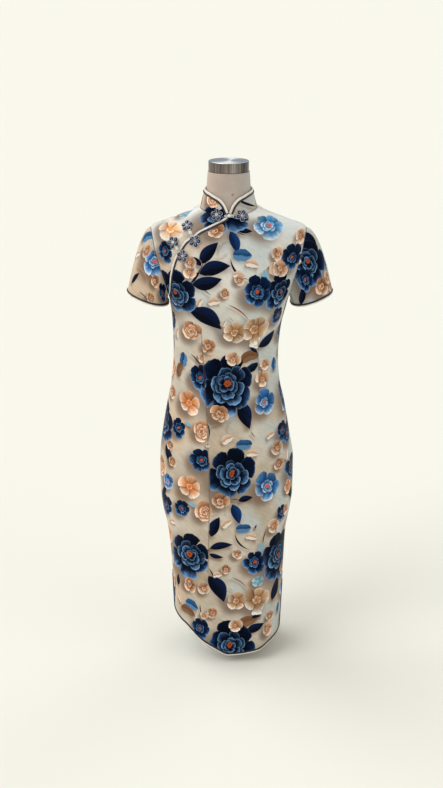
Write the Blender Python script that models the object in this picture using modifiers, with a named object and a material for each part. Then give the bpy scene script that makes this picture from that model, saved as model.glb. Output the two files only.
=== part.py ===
"""Short-sleeved cheongsam standing on a limbless dress form.

Metres, +Z up. The dress faces -Y, and the wearer's left is +X. The origin is on the
floor at the middle of the whole thing. Every panel, the form inside it and all that
lies on the cloth are worked out from one table of body rings, so they fit each other.
"""

import bmesh
import bpy
import numpy as np

# ---------------------------------------------------------------- driving sizes
CLOTH = 0.0015            # wall of one cloth layer
SEAM_GAP = 0.0004         # between pieces that are sewn or lie on each other
UNDER_STEP = CLOTH + 0.0018                # the underlap dips this far beneath the front
DIP_WIDTH = 0.016         # and reaches that depth over this width
FORM_GAP = 0.0075         # outside of the cloth to the face of the form
FIGURE_AT = (-0.0035, -0.0062, 0.0)        # the figure's own middle, from the pole
FORM_FLAT = 0.398         # height of the form's flat underside

HEM = 0.018               # lowest point of the hem above the floor
SLIT_TOP = 0.200          # the side slits end here
SLIT_HALF_GAP = 0.0025    # each panel edge stands this far from the side line
CORNER = 0.030            # rounding of the hem corners at the slits
UNDERARM = 0.957          # bottom of the armhole
SHOULDER = 1.122          # shoulder tip
NECKLINE = 1.250          # station of the collar seam, measured along the shoulder
ARMHOLE_SWING = np.radians(27.0)           # half the armhole's depth, as an angle

SLEEVE_HEM = {"height": 0.9505, "half_width": 0.0505, "half_depth": 0.0650,
              "middle_y": 0.0030, "tilt": np.radians(17.0)}
SLEEVE_SWELL = 0.0060     # fullness at the front and back of the sleeve
SLEEVE_STAND_OFF = 0.0012                  # the sleeve's start beyond the armhole's edge

COLLAR_TOP = {"half_width": 0.0570, "front_y": -0.0600, "back_y": 0.0570,
              "side_z": 1.2170, "front_z": 1.2080, "back_z": 1.2300}
COLLAR_OPEN = np.radians(1.3)              # each collar end stops this far from the middle
COLLAR_STAND_OFF = 0.0010                  # the collar's foot above the neck seam

BINDING_R = 0.0014        # rolled satin binding
UNDERLAP_REACH = 0.018    # how far the underlap goes on beneath the front

CAP = {"radius": 0.0480, "bottom": 1.2585, "top": 1.2830}
POLE_RADIUS = 0.0125
BASE = {"radius": 0.0700, "thickness": 0.0100, "collar_radius": 0.0240, "collar_top": 0.0300}

# ---------------------------------------------------------------- tables
# Rings of the dress's outer face from hem to neck. station orders the rings; heights
# are given at the side seam, middle front and middle back; middle_x is how far the ring
# sways sideways; power rounds the corners (2 is an ellipse, more is squarer).
RING_COLUMNS = ("station", "side_z", "front_z", "back_z", "middle_x",
                "half_width", "front_y", "back_y", "side_y", "power")
RINGS = {
    "hem":         (0.000, 0.000, 0.000, 0.000, 0.000, 0.1340, -0.1130, 0.1130, 0.000, 2.5),
    "calf":        (0.123, 0.123, 0.123, 0.123, -0.001, 0.1400, -0.1140, 0.1160, 0.001, 2.4),
    "knee":        (0.240, 0.240, 0.240, 0.240, -0.001, 0.1450, -0.1150, 0.1190, 0.002, 2.3),
    "thigh":       (0.340, 0.340, 0.340, 0.340, -0.003, 0.1520, -0.1160, 0.1230, 0.003, 2.2),
    "form_edge":   (0.405, 0.405, 0.405, 0.405, -0.004, 0.1640, -0.1175, 0.1270, 0.004, 2.15),
    "low_hip":     (0.450, 0.450, 0.450, 0.450, -0.004, 0.1690, -0.1180, 0.1300, 0.005, 2.15),
    "hip":         (0.530, 0.530, 0.530, 0.530, -0.004, 0.1690, -0.1180, 0.1320, 0.005, 2.15),
    "high_hip":    (0.610, 0.610, 0.610, 0.610, -0.006, 0.1590, -0.1150, 0.1260, 0.004, 2.15),
    "belly":       (0.685, 0.685, 0.685, 0.685, -0.006, 0.1460, -0.1080, 0.1120, 0.003, 2.15),
    "low_waist":   (0.745, 0.745, 0.745, 0.745, -0.007, 0.1340, -0.0980, 0.0980, 0.001, 2.15),
    "waist":       (0.815, 0.815, 0.815, 0.815, -0.006, 0.1290, -0.0910, 0.0890, 0.000, 2.15),
    "rib":         (0.880, 0.880, 0.878, 0.880, -0.004, 0.1325, -0.1030, 0.0940, 0.000, 2.15),
    "underarm":    (0.945, 0.945, 0.940, 0.945, 0.000, 0.1430, -0.1160, 0.1030, 0.000, 2.2),
    "bust":        (0.985, 0.985, 0.975, 0.985, 0.000, 0.1560, -0.1180, 0.1080, 0.000, 2.3),
    "chest":       (1.045, 1.045, 1.030, 1.043, 0.000, 0.1790, -0.1090, 0.1090, 0.001, 2.4),
    "upper_chest": (1.090, 1.090, 1.068, 1.080, 0.000, 0.1880, -0.0990, 0.1040, 0.003, 2.25),
    "tip":         (1.122, 1.123, 1.094, 1.106, 0.000, 0.1860, -0.0920, 0.0970, 0.005, 2.1),
    "shoulder":    (1.165, 1.142, 1.120, 1.135, 0.000, 0.1460, -0.0840, 0.0870, 0.006, 2.05),
    "yoke":        (1.210, 1.158, 1.143, 1.163, 0.000, 0.1020, -0.0770, 0.0750, 0.003, 2.05),
    "neck":        (1.250, 1.174, 1.163, 1.190, 0.000, 0.0680, -0.0700, 0.0620, -0.002, 2.05),
}

# Soft rounds of a general figure, raised from the rings: the place as an angle (front is
# -90 degrees) and a station, how far each spreads, and its rise.
ROUND_COLUMNS = ("angle_deg", "station", "spread_deg", "spread_m", "rise")
ROUNDS = {
    "bust_right":  (-121.0, 0.975, 19.0, 0.050, 0.0100),
    "bust_left":   (-59.0, 0.975, 19.0, 0.050, 0.0100),
    "blade_right": (122.0, 1.060, 22.0, 0.055, 0.0030),
    "blade_left":  (58.0, 1.060, 22.0, 0.055, 0.0030),
    "seat_right":  (118.0, 0.500, 24.0, 0.080, 0.0040),
    "seat_left":   (62.0, 0.500, 24.0, 0.080, 0.0040),
    "belly":       (-90.0, 0.600, 26.0, 0.080, 0.0030),
}

# Largest folds of the cloth alone: a ridge (or a trough, where rise is below 0) from its
# foot to its head, each end given as an angle and a station, with its half-width.
FOLD_COLUMNS = ("foot_deg", "foot", "head_deg", "head", "half_width", "rise")
FOLDS = {
    "skirt_ridge_left":    (-58.0, 0.000, -66.0, 0.520, 0.022, 0.0050),
    "skirt_trough_mid":    (-80.0, 0.000, -84.0, 0.400, 0.024, -0.0030),
    "skirt_ridge_right":   (-112.0, 0.000, -108.0, 0.470, 0.022, 0.0045),
    "skirt_trough_right":  (-138.0, 0.020, -132.0, 0.380, 0.020, -0.0030),
    "back_ridge_left":     (62.0, 0.000, 68.0, 0.430, 0.024, 0.0050),
    "back_trough_mid":     (88.0, 0.000, 90.0, 0.440, 0.026, -0.0035),
    "back_ridge_right":    (116.0, 0.000, 112.0, 0.450, 0.024, 0.0050),
    "waist_drag_left":     (-40.0, 0.720, -72.0, 0.830, 0.010, 0.0022),
    "waist_drag_right":    (-141.0, 0.735, -112.0, 0.850, 0.010, 0.0022),
    "bust_drag_left":      (-62.0, 0.935, -33.0, 1.030, 0.011, 0.0024),
    "bust_drag_right":     (-118.0, 0.930, -146.0, 0.985, 0.011, 0.0022),
    "back_waist_left":     (50.0, 0.790, 78.0, 0.850, 0.011, 0.0024),
    "back_waist_right":    (130.0, 0.800, 104.0, 0.865, 0.011, 0.0024),
}

# The two sleeves: side of the figure (1 is the wearer's left), the middle of the hem
# from the figure's middle, how far the head stands out over the shoulder, and how much of
# that it drops. The wearer's right sleeve hangs closer.
SLEEVE_COLUMNS = ("side", "hem_across", "cap_push", "cap_drop")
SLEEVES = {
    "sleeve_left":  (1, 0.2020, 0.0330, 0.25),
    "sleeve_right": (-1, 0.1950, 0.0230, 0.05),
}

# Soft flutes at the sleeves' hems: place round the hem (90 is the outer side, 180 the
# front), half-width, and rise.
SLEEVE_FOLD_COLUMNS = ("place_deg", "wide_deg", "rise")
SLEEVE_FOLDS = {
    "front_flute": (205.0, 24.0, 0.0035),
    "front_hollow": (150.0, 20.0, -0.0020),
    "back_flute": (-20.0, 26.0, 0.0035),
    "outer_hollow": (60.0, 22.0, -0.0015),
}

# How much the hem climbs from the middle to each side slit.
HEM_COLUMNS = ("rise", "power")
HEM_CURVES = {"wearers_right": (0.097, 1.08), "wearers_left": (0.042, 1.90)}
HEM_FADE = 0.300          # above this height the rows are level again

# The slanted opening from the middle of the neck to the wearer's right underarm, as
# chalked on the front: across from the middle, and height.
PLACKET_COLUMNS = ("across", "height")
PLACKET = {
    "neck":       (-0.0030, 1.1620),
    "first":      (-0.0380, 1.1440),
    "first_frog": (-0.0710, 1.1270),
    "bend":       (-0.0930, 1.1120),
    "second_frog": (-0.1130, 1.0900),
    "turn":       (-0.1260, 1.0660),
    "fall":       (-0.1340, 1.0350),
    "side":       (-0.1365, 1.0000),
    "end":        (-0.1395, 0.9560),
}

# Front edge of the stand collar: distance from the middle, and height above the seam.
COLLAR_EDGE_COLUMNS = ("across", "rise")
COLLAR_EDGE = {
    "seam":   (0.0000, 0.0030),
    "throat": (0.0030, 0.0110),
    "curve":  (0.0110, 0.0260),
    "swell":  (0.0270, 0.0385),
    "top":    (0.0520, 0.0445),
}

# Flower frogs on the front: middle of each rosette, across and height, its turn, and how
# far it stands off the cloth to clear its curve and the bindings.
FROG_COLUMNS = ("across", "height", "turn_deg", "stand_off")
FROGS = {
    "frog_neck_right":  (-0.0275, 1.1660, 20.0, 0.0060),
    "frog_neck_left":   (0.0290, 1.1630, -20.0, 0.0060),
    "frog_upper_right": (-0.0975, 1.1370, 35.0, 0.0050),
    "frog_upper_left":  (-0.0785, 1.1060, 215.0, 0.0050),
    "frog_lower_right": (-0.1290, 1.1010, 50.0, 0.0060),
    "frog_lower_left":  (-0.1070, 1.0720, 230.0, 0.0060),
}
FROG_PETALS = 5
FROG_RADIUS = 0.0130
FROG_DEPTH = 0.0034
KNOT_RADIUS = 0.0042
KNOT_STAND_OFF = 0.0080
KNOT_PAIRS = {
    "knot_neck": ("frog_neck_right", "frog_neck_left"),
    "knot_upper": ("frog_upper_right", "frog_upper_left"),
    "knot_lower": ("frog_lower_right", "frog_lower_left"),
}

# Neck of the form above the collar seam: height and radius, round about the neck's axis.
NECK_COLUMNS = ("height", "radius")
NECK = {
    "collar_low":  (1.1880, 0.0560),
    "collar_mid":  (1.2050, 0.0533),
    "collar_high": (1.2250, 0.0520),
    "below_cap":   (1.2520, 0.0502),
    "top":         (1.2580, 0.0495),
}
NECK_AXIS_Y = -0.0020

# Colours as linear red, green, blue, then roughness and metallic.
FINISHES = {
    "printed_satin": (0.53, 0.46, 0.37, 0.38, 0.0),
    "binding_satin": (0.78, 0.70, 0.60, 0.40, 0.0),
    "frog_satin": (0.020, 0.045, 0.120, 0.45, 0.0),
    "frog_knot": (0.62, 0.58, 0.54, 0.45, 0.0),
    "form_linen": (0.42, 0.35, 0.29, 0.85, 0.0),
    "cap_steel": (0.62, 0.62, 0.64, 0.28, 1.0),
    "stand_steel": (0.55, 0.55, 0.57, 0.32, 1.0),
}


# ---------------------------------------------------------------- curves through tables
def column(table, columns, name):
    """One named column of a table, as an array."""
    place = columns.index(name)
    return np.array([row[place] for row in table.values()], dtype=float)


def named_rows(table, columns):
    """The rows of a table, each as a dictionary by column name."""
    return [dict(zip(columns, row)) for row in table.values()]


def smooth(at, known_at, known):
    """Cubic through the known points that never overshoots them.

    Each slope is the harmonic mean of the slopes on its two sides, or 0 at a peak.
    """
    step = np.diff(known_at)
    rate = np.diff(known) / step
    slope = np.zeros_like(known)
    slope[0], slope[-1] = rate[0], rate[-1]
    same_way = rate[:-1] * rate[1:] > 0
    pair_sum = np.where(same_way, rate[:-1] + rate[1:], 1.0)
    slope[1:-1] = np.where(same_way, 2 * rate[:-1] * rate[1:] / pair_sum, 0.0)
    where = np.clip(np.searchsorted(known_at, at) - 1, 0, len(step) - 1)
    width = step[where]
    t = np.clip((at - known_at[where]) / width, 0.0, 1.0)
    low = known[where] * (2 * t**3 - 3 * t**2 + 1) + slope[where] * width * (t**3 - 2 * t**2 + t)
    high = known[where + 1] * (3 * t**2 - 2 * t**3) + slope[where + 1] * width * (t**3 - t**2)
    return low + high


def ring_value(name, station):
    """A column of the ring table, smoothed along the stations."""
    stations = column(RINGS, RING_COLUMNS, "station")
    return smooth(station, stations, column(RINGS, RING_COLUMNS, name))


# ---------------------------------------------------------------- the dressed surface
def soft_step(t):
    """0 to 1 with level ends."""
    t = np.clip(t, 0.0, 1.0)
    return t * t * (3 - 2 * t)


def ring_point(angle, station):
    """Point of the bare ring: a superellipse with its own front, back and side heights."""
    power = ring_value("power", station)
    cosine, sine = np.cos(angle), np.sin(angle)
    reach = np.sign(cosine) * np.abs(cosine) ** (2 / power)
    depth = np.abs(sine) ** (2 / power)
    side_y, side_z = ring_value("side_y", station), ring_value("side_z", station)
    ahead = sine < 0
    end_y = np.where(ahead, ring_value("front_y", station), ring_value("back_y", station))
    end_z = np.where(ahead, ring_value("front_z", station), ring_value("back_z", station))
    x = ring_value("middle_x", station) + ring_value("half_width", station) * reach
    y = side_y + (end_y - side_y) * depth
    z = side_z + (end_z - side_z) * np.abs(sine) ** 1.6
    return np.stack([x, y, z], axis=-1)


def ring_normal(angle, station):
    """Outward normal of the bare rings, from two short steps across and up."""
    turn, climb = 1e-3, 1e-3
    across = ring_point(angle + turn, station) - ring_point(angle - turn, station)
    up = ring_point(angle, station + climb) - ring_point(angle, station - climb)
    normal = np.cross(across, up)
    return normal / np.linalg.norm(normal, axis=-1, keepdims=True)


def wrapped(angle):
    """An angle brought to -180 to 180 degrees."""
    return (angle + np.pi) % (2 * np.pi) - np.pi


def rounds(angle, station):
    """Rise of the bust, blades, seat and belly: a bell round each middle."""
    total = np.zeros(np.broadcast(angle, station).shape)
    for swell in named_rows(ROUNDS, ROUND_COLUMNS):
        turn = wrapped(angle - np.radians(swell["angle_deg"])) / np.radians(swell["spread_deg"])
        climb = (station - swell["station"]) / swell["spread_m"]
        total = total + swell["rise"] * np.exp(-0.5 * (turn**2 + climb**2))
    return total


def folds(angle, station):
    """Rise of the cloth's folds: a bell across each line, fading at its head.

    Folds that start above the slits fade at their foot too.
    """
    total = np.zeros(np.broadcast(angle, station).shape)
    half_width = ring_value("half_width", station)
    for fold in named_rows(FOLDS, FOLD_COLUMNS):
        along = (station - fold["foot"]) / (fold["head"] - fold["foot"])
        turn = fold["head_deg"] - fold["foot_deg"]
        line = np.radians(fold["foot_deg"] + turn * np.clip(along, 0.0, 1.0))
        off = wrapped(angle - line) * half_width / fold["half_width"]
        fade = soft_step((1 - along) / 0.45)
        if fold["foot"] > SLIT_TOP:
            fade = fade * soft_step(along / 0.35)
        total = total + fold["rise"] * np.exp(-off**2) * fade
    return total


def body(angle, station, lift=0.0):
    """Point of the figure, lifted off along its normal."""
    angle, station = np.broadcast_arrays(angle, station)
    rise = rounds(angle, station) + lift
    return ring_point(angle, station) + ring_normal(angle, station) * rise[..., None]


def cloth(angle, station, lift=0.0):
    """Point of the cloth's outer face: the figure plus the cloth's own folds."""
    angle, station = np.broadcast_arrays(angle, station)
    return body(angle, station, folds(angle, station) + lift)


def on_front(across, height):
    """Angle and station of the cloth's front at a place given across and up."""
    low, high = np.full_like(across, 0.5), np.full_like(across, NECKLINE)
    for _ in range(40):
        station = (low + high) / 2
        share = np.clip(np.abs(across) / ring_value("half_width", station), 0.0, 1.0)
        turn = np.arccos(share ** (ring_value("power", station) / 2))
        angle = np.where(across > 0, -turn, turn - np.pi)
        below = cloth(angle, station)[..., 2] < height
        low = np.where(below, station, low)
        high = np.where(below, high, station)
    return angle, station


# ---------------------------------------------------------------- edges of the panels
def armhole_turn(station):
    """How far the armhole's edge stands from the side line, as an angle."""
    middle, half = (SHOULDER + UNDERARM) / 2, (SHOULDER - UNDERARM) / 2
    share = np.clip((station - middle) / half, -1.0, 1.0)
    return ARMHOLE_SWING * np.sqrt(1 - share**2)


def slit_turn(station):
    """How far a panel's side edge stands back from the side line below the slit's top."""
    half_width = ring_value("half_width", station)
    open_gap = SLIT_HALF_GAP * (1 + soft_step((SLIT_TOP - station) / SLIT_TOP))
    seam_gap = SEAM_GAP * (1 + 1.5 * soft_step((station - 0.900) / (UNDERARM - 0.900)))
    gap = np.where(station < SLIT_TOP, open_gap, seam_gap)
    corner = np.clip((HEM + CORNER - station) / CORNER, 0.0, 1.0)
    gap = gap + CORNER * (1 - np.sqrt(1 - corner**2))
    depth = np.minimum(np.abs(ring_value("front_y", station)), ring_value("back_y", station))
    share = np.clip(gap / depth, 0.0, 1.0)
    turn = np.arcsin(share ** (ring_value("power", station) / 2))
    return np.maximum(turn, gap / half_width)


def side_turn(station):
    """Edge of a plain panel from the side line: slit, side seam, armhole or shoulder."""
    return np.maximum(slit_turn(station), armhole_turn(station))


def placket_line():
    """Angle and station of the placket's chalked points, from underarm to neck."""
    across = column(PLACKET, PLACKET_COLUMNS, "across")[::-1]
    height = column(PLACKET, PLACKET_COLUMNS, "height")[::-1]
    angle, station = on_front(across, height)
    station[-1] = NECKLINE
    return angle, station


def placket_angle(station):
    """Angle of the placket at each station; below it, the panel's side edge."""
    line_angle, line_station = placket_line()
    edge = smooth(station, line_station, line_angle)
    side = -np.pi + side_turn(station)
    start = line_station[0]
    meet = 0.022
    share = soft_step((station - start + meet) / meet)
    return np.where(station < start, side + (edge - side) * share, edge)


# ---------------------------------------------------------------- grids of the panels
def stations_of(bands):
    """Row stations through the bands (from, to, rows)."""
    rows = [np.linspace(low, high, count, endpoint=False) for low, high, count in bands]
    return np.append(np.concatenate(rows), bands[-1][1])


def hem_rise(angle):
    """How far the hem stands above its lowest point, by its place round the skirt."""
    share = np.abs(np.cos(angle)) ** (2 / ring_value("power", 0.0))
    right, left = named_rows(HEM_CURVES, HEM_COLUMNS)
    right_rise = right["rise"] * share ** right["power"]
    left_rise = left["rise"] * share ** left["power"]
    return np.where(np.cos(angle) < 0, right_rise, left_rise)


def panel_field(first_edge, last_edge, rows, columns):
    """Angles and stations of a panel's grid between two edge rules.

    Rows near the hem climb with the hem's curve, and fade to level above it.
    """
    share = np.linspace(0.0, 1.0, columns + 1)[None, :]
    level = rows[:, None] * np.ones_like(share)
    station = level
    for _ in range(3):
        start = first_edge(station[:, 0])[:, None]
        stop = last_edge(station[:, -1])[:, None]
        angle = start + (stop - start) * share
        fade = np.clip(1 - (level - HEM) / HEM_FADE, 0.0, 1.0) ** 2
        station = level + hem_rise(angle) * fade
    return angle, station


def grid_mesh(name, points):
    """Mesh of quads from a grid of points; columns run to the right seen from outside."""
    rows, columns = points.shape[:2]
    index = np.arange(rows * columns).reshape(rows, columns)
    quads = np.stack([index[:-1, :-1], index[:-1, 1:], index[1:, 1:], index[1:, :-1]], axis=-1)
    mesh = bpy.data.meshes.new(name)
    mesh.from_pydata(points.reshape(-1, 3).tolist(), [], quads.reshape(-1, 4).tolist())
    return mesh


def closed_round(points):
    """The grid with its first column repeated at the end."""
    return np.concatenate([points, points[:, :1]], axis=1)


def weld(mesh, distance=1e-5):
    """Merge the points that share a place, and turn the faces to agree."""
    work = bmesh.new()
    work.from_mesh(mesh)
    bmesh.ops.remove_doubles(work, verts=work.verts, dist=distance)
    work.to_mesh(mesh)
    work.free()


def material(name):
    """Principled material of a finish."""
    found = bpy.data.materials.get(name)
    if found:
        return found
    red, green, blue, roughness, metallic = FINISHES[name]
    made = bpy.data.materials.new(name)
    made.use_nodes = True
    shader = made.node_tree.nodes["Principled BSDF"]
    shader.inputs["Base Color"].default_value = (red, green, blue, 1.0)
    shader.inputs["Roughness"].default_value = roughness
    shader.inputs["Metallic"].default_value = metallic
    made.diffuse_color = (red, green, blue, 1.0)
    return made


def place(name, data, finish, collection, on_figure=True):
    """New object of a mesh or curve, with its finish; what is on the figure moves with it."""
    piece = bpy.data.objects.new(name, data)
    data.materials.append(material(finish))
    collection.objects.link(piece)
    if on_figure:
        piece.parent = bpy.data.objects["figure"]
    return piece


def cloth_piece(name, points, finish, collection):
    """A cloth wall: the outer face as a grid, and Solidify inward."""
    mesh = grid_mesh(name, points)
    mesh.shade_smooth()
    piece = place(name, mesh, finish, collection)
    wall = piece.modifiers.new("cloth_wall", "SOLIDIFY")
    wall.thickness = CLOTH
    wall.offset = -1.0
    return piece


def binding(name, path, closed, finish, collection, radius=BINDING_R):
    """A rolled binding: a round tube along a path."""
    curve = bpy.data.curves.new(name, "CURVE")
    curve.dimensions = "3D"
    curve.bevel_depth = radius
    curve.bevel_resolution = 1
    curve.use_fill_caps = True
    spline = curve.splines.new("POLY")
    spline.points.add(len(path) - 1)
    spline.points.foreach_set("co", np.column_stack([path, np.ones(len(path))]).ravel())
    spline.use_cyclic_u = closed
    return place(name, curve, finish, collection)


# ---------------------------------------------------------------- front, back, underlap
BELOW_ARMHOLE = [(HEM, 0.080, 3), (0.080, 0.400, 7), (0.400, 0.900, 10), (0.900, UNDERARM, 2)]
ABOVE_ARMHOLE = [(SHOULDER, NECKLINE, 5)]
FRONT_COLUMNS = 20
BACK_COLUMNS = 18
ARMHOLE_STEPS = 12        # rows up the armhole, which match the sleeve's own points


def armhole_stations():
    """Rows from underarm to shoulder tip, at equal turns round the armhole."""
    middle, half = (SHOULDER + UNDERARM) / 2, (SHOULDER - UNDERARM) / 2
    return middle + half * np.sin(np.linspace(-np.pi / 2, np.pi / 2, ARMHOLE_STEPS + 1))


def body_rows(below):
    """Row stations of a body panel: below the armhole, along it, and up to the neck."""
    low = stations_of(below)[:-1]
    high = stations_of(ABOVE_ARMHOLE)[1:]
    return np.concatenate([low, armhole_stations(), high])


def front_field():
    """Front panel: from the placket and right side seam round to the left edge."""
    last = lambda station: -side_turn(station)
    return panel_field(placket_angle, last, body_rows(BELOW_ARMHOLE), FRONT_COLUMNS)


def back_field():
    """Back panel: from the wearer's left edge round behind to the right."""
    first = lambda station: side_turn(station)
    last = lambda station: np.pi - side_turn(station)
    return panel_field(first, last, body_rows(BELOW_ARMHOLE), BACK_COLUMNS)


def underlap_field():
    """Underlap: the right armhole and shoulder piece, and a strip beneath the front.

    It is level with the front where it shows, and dips as it nears the placket.
    """
    station = body_rows([(0.9285, UNDERARM, 1)])[:, None]
    half_width = ring_value("half_width", station)
    edge = -np.pi + side_turn(station)
    placket = placket_angle(station)
    shown = placket - edge
    dip = np.minimum(DIP_WIDTH / half_width, 0.6 * shown)
    steps = [edge + (shown - dip) * share for share in (0.0, 0.2, 0.4, 0.6, 0.8, 1.0)]
    steps += [placket - dip * 0.45, placket, placket + UNDERLAP_REACH / half_width]
    depth = [0.0] * 6 + [0.55, 1.0, 1.0]
    lift = -UNDER_STEP * np.array(depth)[None, :] * np.ones_like(station)
    low_part = soft_step((0.975 - station) / 0.018)
    lift = lift + (-UNDER_STEP - lift) * low_part
    return np.concatenate(steps, axis=1), station * np.ones_like(lift), lift


def make_panels(collection):
    """The three body panels."""
    cloth_piece("front_panel", cloth(*front_field()), "printed_satin", collection)
    cloth_piece("back_panel", cloth(*back_field()), "printed_satin", collection)
    cloth_piece("underlap", cloth(*underlap_field()), "printed_satin", collection)


# ---------------------------------------------------------------- sleeves
SLEEVE_ROWS = 7


def sleeve_points(name):
    """Sleeve as a loft from the armhole to a tilted oval hem, rows of equal turns.

    Each line runs as a quadratic curve: the share (1 - s)^2 of its start, 2s(1 - s) of a
    knee pushed out from the start, and s^2 of its end. The right sleeve's columns run
    the other way, which keeps its outside outward.
    """
    sleeve = dict(zip(SLEEVE_COLUMNS, SLEEVES[name]))
    side = sleeve["side"]
    turn = np.linspace(0.0, 2 * np.pi, 2 * ARMHOLE_STEPS, endpoint=False)[None, :]
    share = np.linspace(0.0, 1.0, SLEEVE_ROWS + 1)[:, None]
    middle, half = (SHOULDER + UNDERARM) / 2, (SHOULDER - UNDERARM) / 2
    sideways = ARMHOLE_SWING * np.cos(turn)
    start_angle = sideways if side > 0 else np.pi - sideways
    start = cloth(start_angle, middle + half * np.sin(turn))
    start[..., 0] = np.abs(start[..., 0])
    hem = SLEEVE_HEM
    out = np.sin(turn)
    end = np.stack([sleeve["hem_across"] + hem["half_width"] * out,
                    hem["half_depth"] * np.cos(turn) + hem["middle_y"],
                    hem["height"] + hem["half_width"] * np.tan(hem["tilt"]) * out], axis=-1)
    push = sleeve["cap_push"] * (0.5 + 0.5 * out) ** 1.3 + 0.002
    swell = SLEEVE_SWELL * np.cos(turn) * np.sqrt(1 - np.abs(out))
    knee = start + np.stack([push, swell, -sleeve["cap_drop"] * push], axis=-1)
    s = share[..., None]
    points = start * (1 - s) ** 2 + knee * 2 * s * (1 - s) + end * s**2
    rise = np.zeros_like(share * turn)
    for flute in named_rows(SLEEVE_FOLDS, SLEEVE_FOLD_COLUMNS):
        off = wrapped(turn - np.radians(flute["place_deg"])) / np.radians(flute["wide_deg"])
        rise = rise + flute["rise"] * np.exp(-off**2) * soft_step(share / 0.6)
    away = points - points.mean(axis=1, keepdims=True)
    away = away / np.linalg.norm(away, axis=-1, keepdims=True)
    points = points + away * rise[..., None]
    points[..., 0] = side * (points[..., 0] + SLEEVE_STAND_OFF)
    return points if side > 0 else points[:, ::-1]


def make_sleeves(collection):
    """Two set-in sleeves, each a closed round of cloth, open at both ends."""
    for name in SLEEVES:
        points = sleeve_points(name)
        sleeve = cloth_piece(name, closed_round(points), "printed_satin", collection)
        weld(sleeve.data)


# ---------------------------------------------------------------- collar
def collar_edge_rise(across):
    """Height of the collar above its seam, by the distance from the middle front."""
    known_at = column(COLLAR_EDGE, COLLAR_EDGE_COLUMNS, "across")
    known = column(COLLAR_EDGE, COLLAR_EDGE_COLUMNS, "rise")
    return smooth(np.clip(across, known_at[0], known_at[-1]), known_at, known)


COLLAR_COLUMNS = 44
COLLAR_ROWS = 4


def collar_points(columns, rows):
    """Stand collar: from the seam ring to a smaller, higher ring.

    The front edge is cut away in a curved V, so each column climbs only as far as the
    edge's height there.
    """
    share = np.linspace(-1.0, 1.0, columns + 1)
    spread = np.sign(share) * (1 - (1 - np.abs(share)) ** 1.6)
    angle = np.pi / 2 + spread * (np.pi - COLLAR_OPEN)
    angle = angle[None, :]
    seam = body(angle, np.full_like(angle, NECKLINE))
    cosine, sine = np.cos(angle), np.sin(angle)
    ahead = sine < 0
    top_y = np.where(ahead, COLLAR_TOP["front_y"], COLLAR_TOP["back_y"])
    top_z = np.where(ahead, COLLAR_TOP["front_z"], COLLAR_TOP["back_z"])
    top = np.stack([COLLAR_TOP["half_width"] * cosine,
                    top_y * np.abs(sine),
                    COLLAR_TOP["side_z"] + (top_z - COLLAR_TOP["side_z"]) * sine**2], axis=-1)
    full = np.linalg.norm(top - seam, axis=-1)
    rise = np.where(ahead, collar_edge_rise(np.abs(seam[..., 0])), full)
    reach = np.minimum(rise / full, 1.0)
    climb = np.linspace(0.0, 1.0, rows + 1)[:, None]
    lowest = COLLAR_STAND_OFF / full
    share_up = lowest + (reach - lowest) * climb
    return seam + (top - seam) * share_up[..., None]


def make_collar(collection):
    """One band round the neck, open at the middle front."""
    points = collar_points(COLLAR_COLUMNS, COLLAR_ROWS)
    cloth_piece("collar", points, "printed_satin", collection)


# ---------------------------------------------------------------- bindings
BINDING_INSET = 0.0028    # middle of a binding in from the cloth's edge
BINDING_LIFT = BINDING_R + SEAM_GAP
SLIT_ROWS = 7             # rows of a panel from its hem to the top of the slit


def grid_normals(points):
    """Outward normal at each point of a grid, from its neighbours."""
    across = np.gradient(points, axis=1)
    up = np.gradient(points, axis=0)
    normal = np.cross(across, up)
    return normal / np.linalg.norm(normal, axis=-1, keepdims=True)


def along_edge(points, rim, inner):
    """Path on the outer face beside an edge: in from the rim, and lifted off."""
    normal = grid_normals(points)
    edge, inward = points[rim], points[inner] - points[rim]
    inward = inward / np.linalg.norm(inward, axis=-1, keepdims=True)
    return edge + inward * BINDING_INSET + normal[rim] * BINDING_LIFT


def hem_path(points):
    """Down one slit edge, along the hem, and up the other slit edge."""
    last = points.shape[1] - 1
    down, along = np.arange(SLIT_ROWS, 0, -1), np.arange(last + 1)
    rows = np.concatenate([down, np.zeros_like(along), down[::-1]])
    columns = np.concatenate([np.zeros_like(down), along, np.full_like(down, last)])
    inner_rows = np.maximum(rows, 1)
    inner_columns = np.clip(columns, 1, last - 1)
    return along_edge(points, (rows, columns), (inner_rows, inner_columns))


def make_bindings(collection):
    """Rolled satin bindings on the slits and hems, placket, collar and sleeve hems."""
    front, back = cloth(*front_field()), cloth(*back_field())
    binding("binding_front_hem", hem_path(front), False, "binding_satin", collection)
    binding("binding_back_hem", hem_path(back), False, "binding_satin", collection)
    _, station = front_field()
    rows = np.flatnonzero((station[:, 0] > 0.962) & (station[:, 0] < NECKLINE - 0.001))
    first, second = np.zeros_like(rows), np.ones_like(rows)
    path = along_edge(front, (rows, first), (rows, second))
    binding("binding_placket", path, False, "binding_satin", collection)
    collar = collar_points(COLLAR_COLUMNS, COLLAR_ROWS)
    columns = np.arange(2, COLLAR_COLUMNS - 1)
    top = np.full_like(columns, COLLAR_ROWS)
    path = along_edge(collar, (top, columns), (top - 1, columns))
    binding("binding_collar", path, False, "binding_satin", collection)
    for name in SLEEVES:
        sleeve = closed_round(sleeve_points(name))
        columns = np.arange(2 * ARMHOLE_STEPS)
        end = np.full_like(columns, SLEEVE_ROWS)
        ring = along_edge(sleeve, (end, columns), (end - 1, columns))
        binding("binding_" + name, ring, True, "binding_satin", collection)


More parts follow.
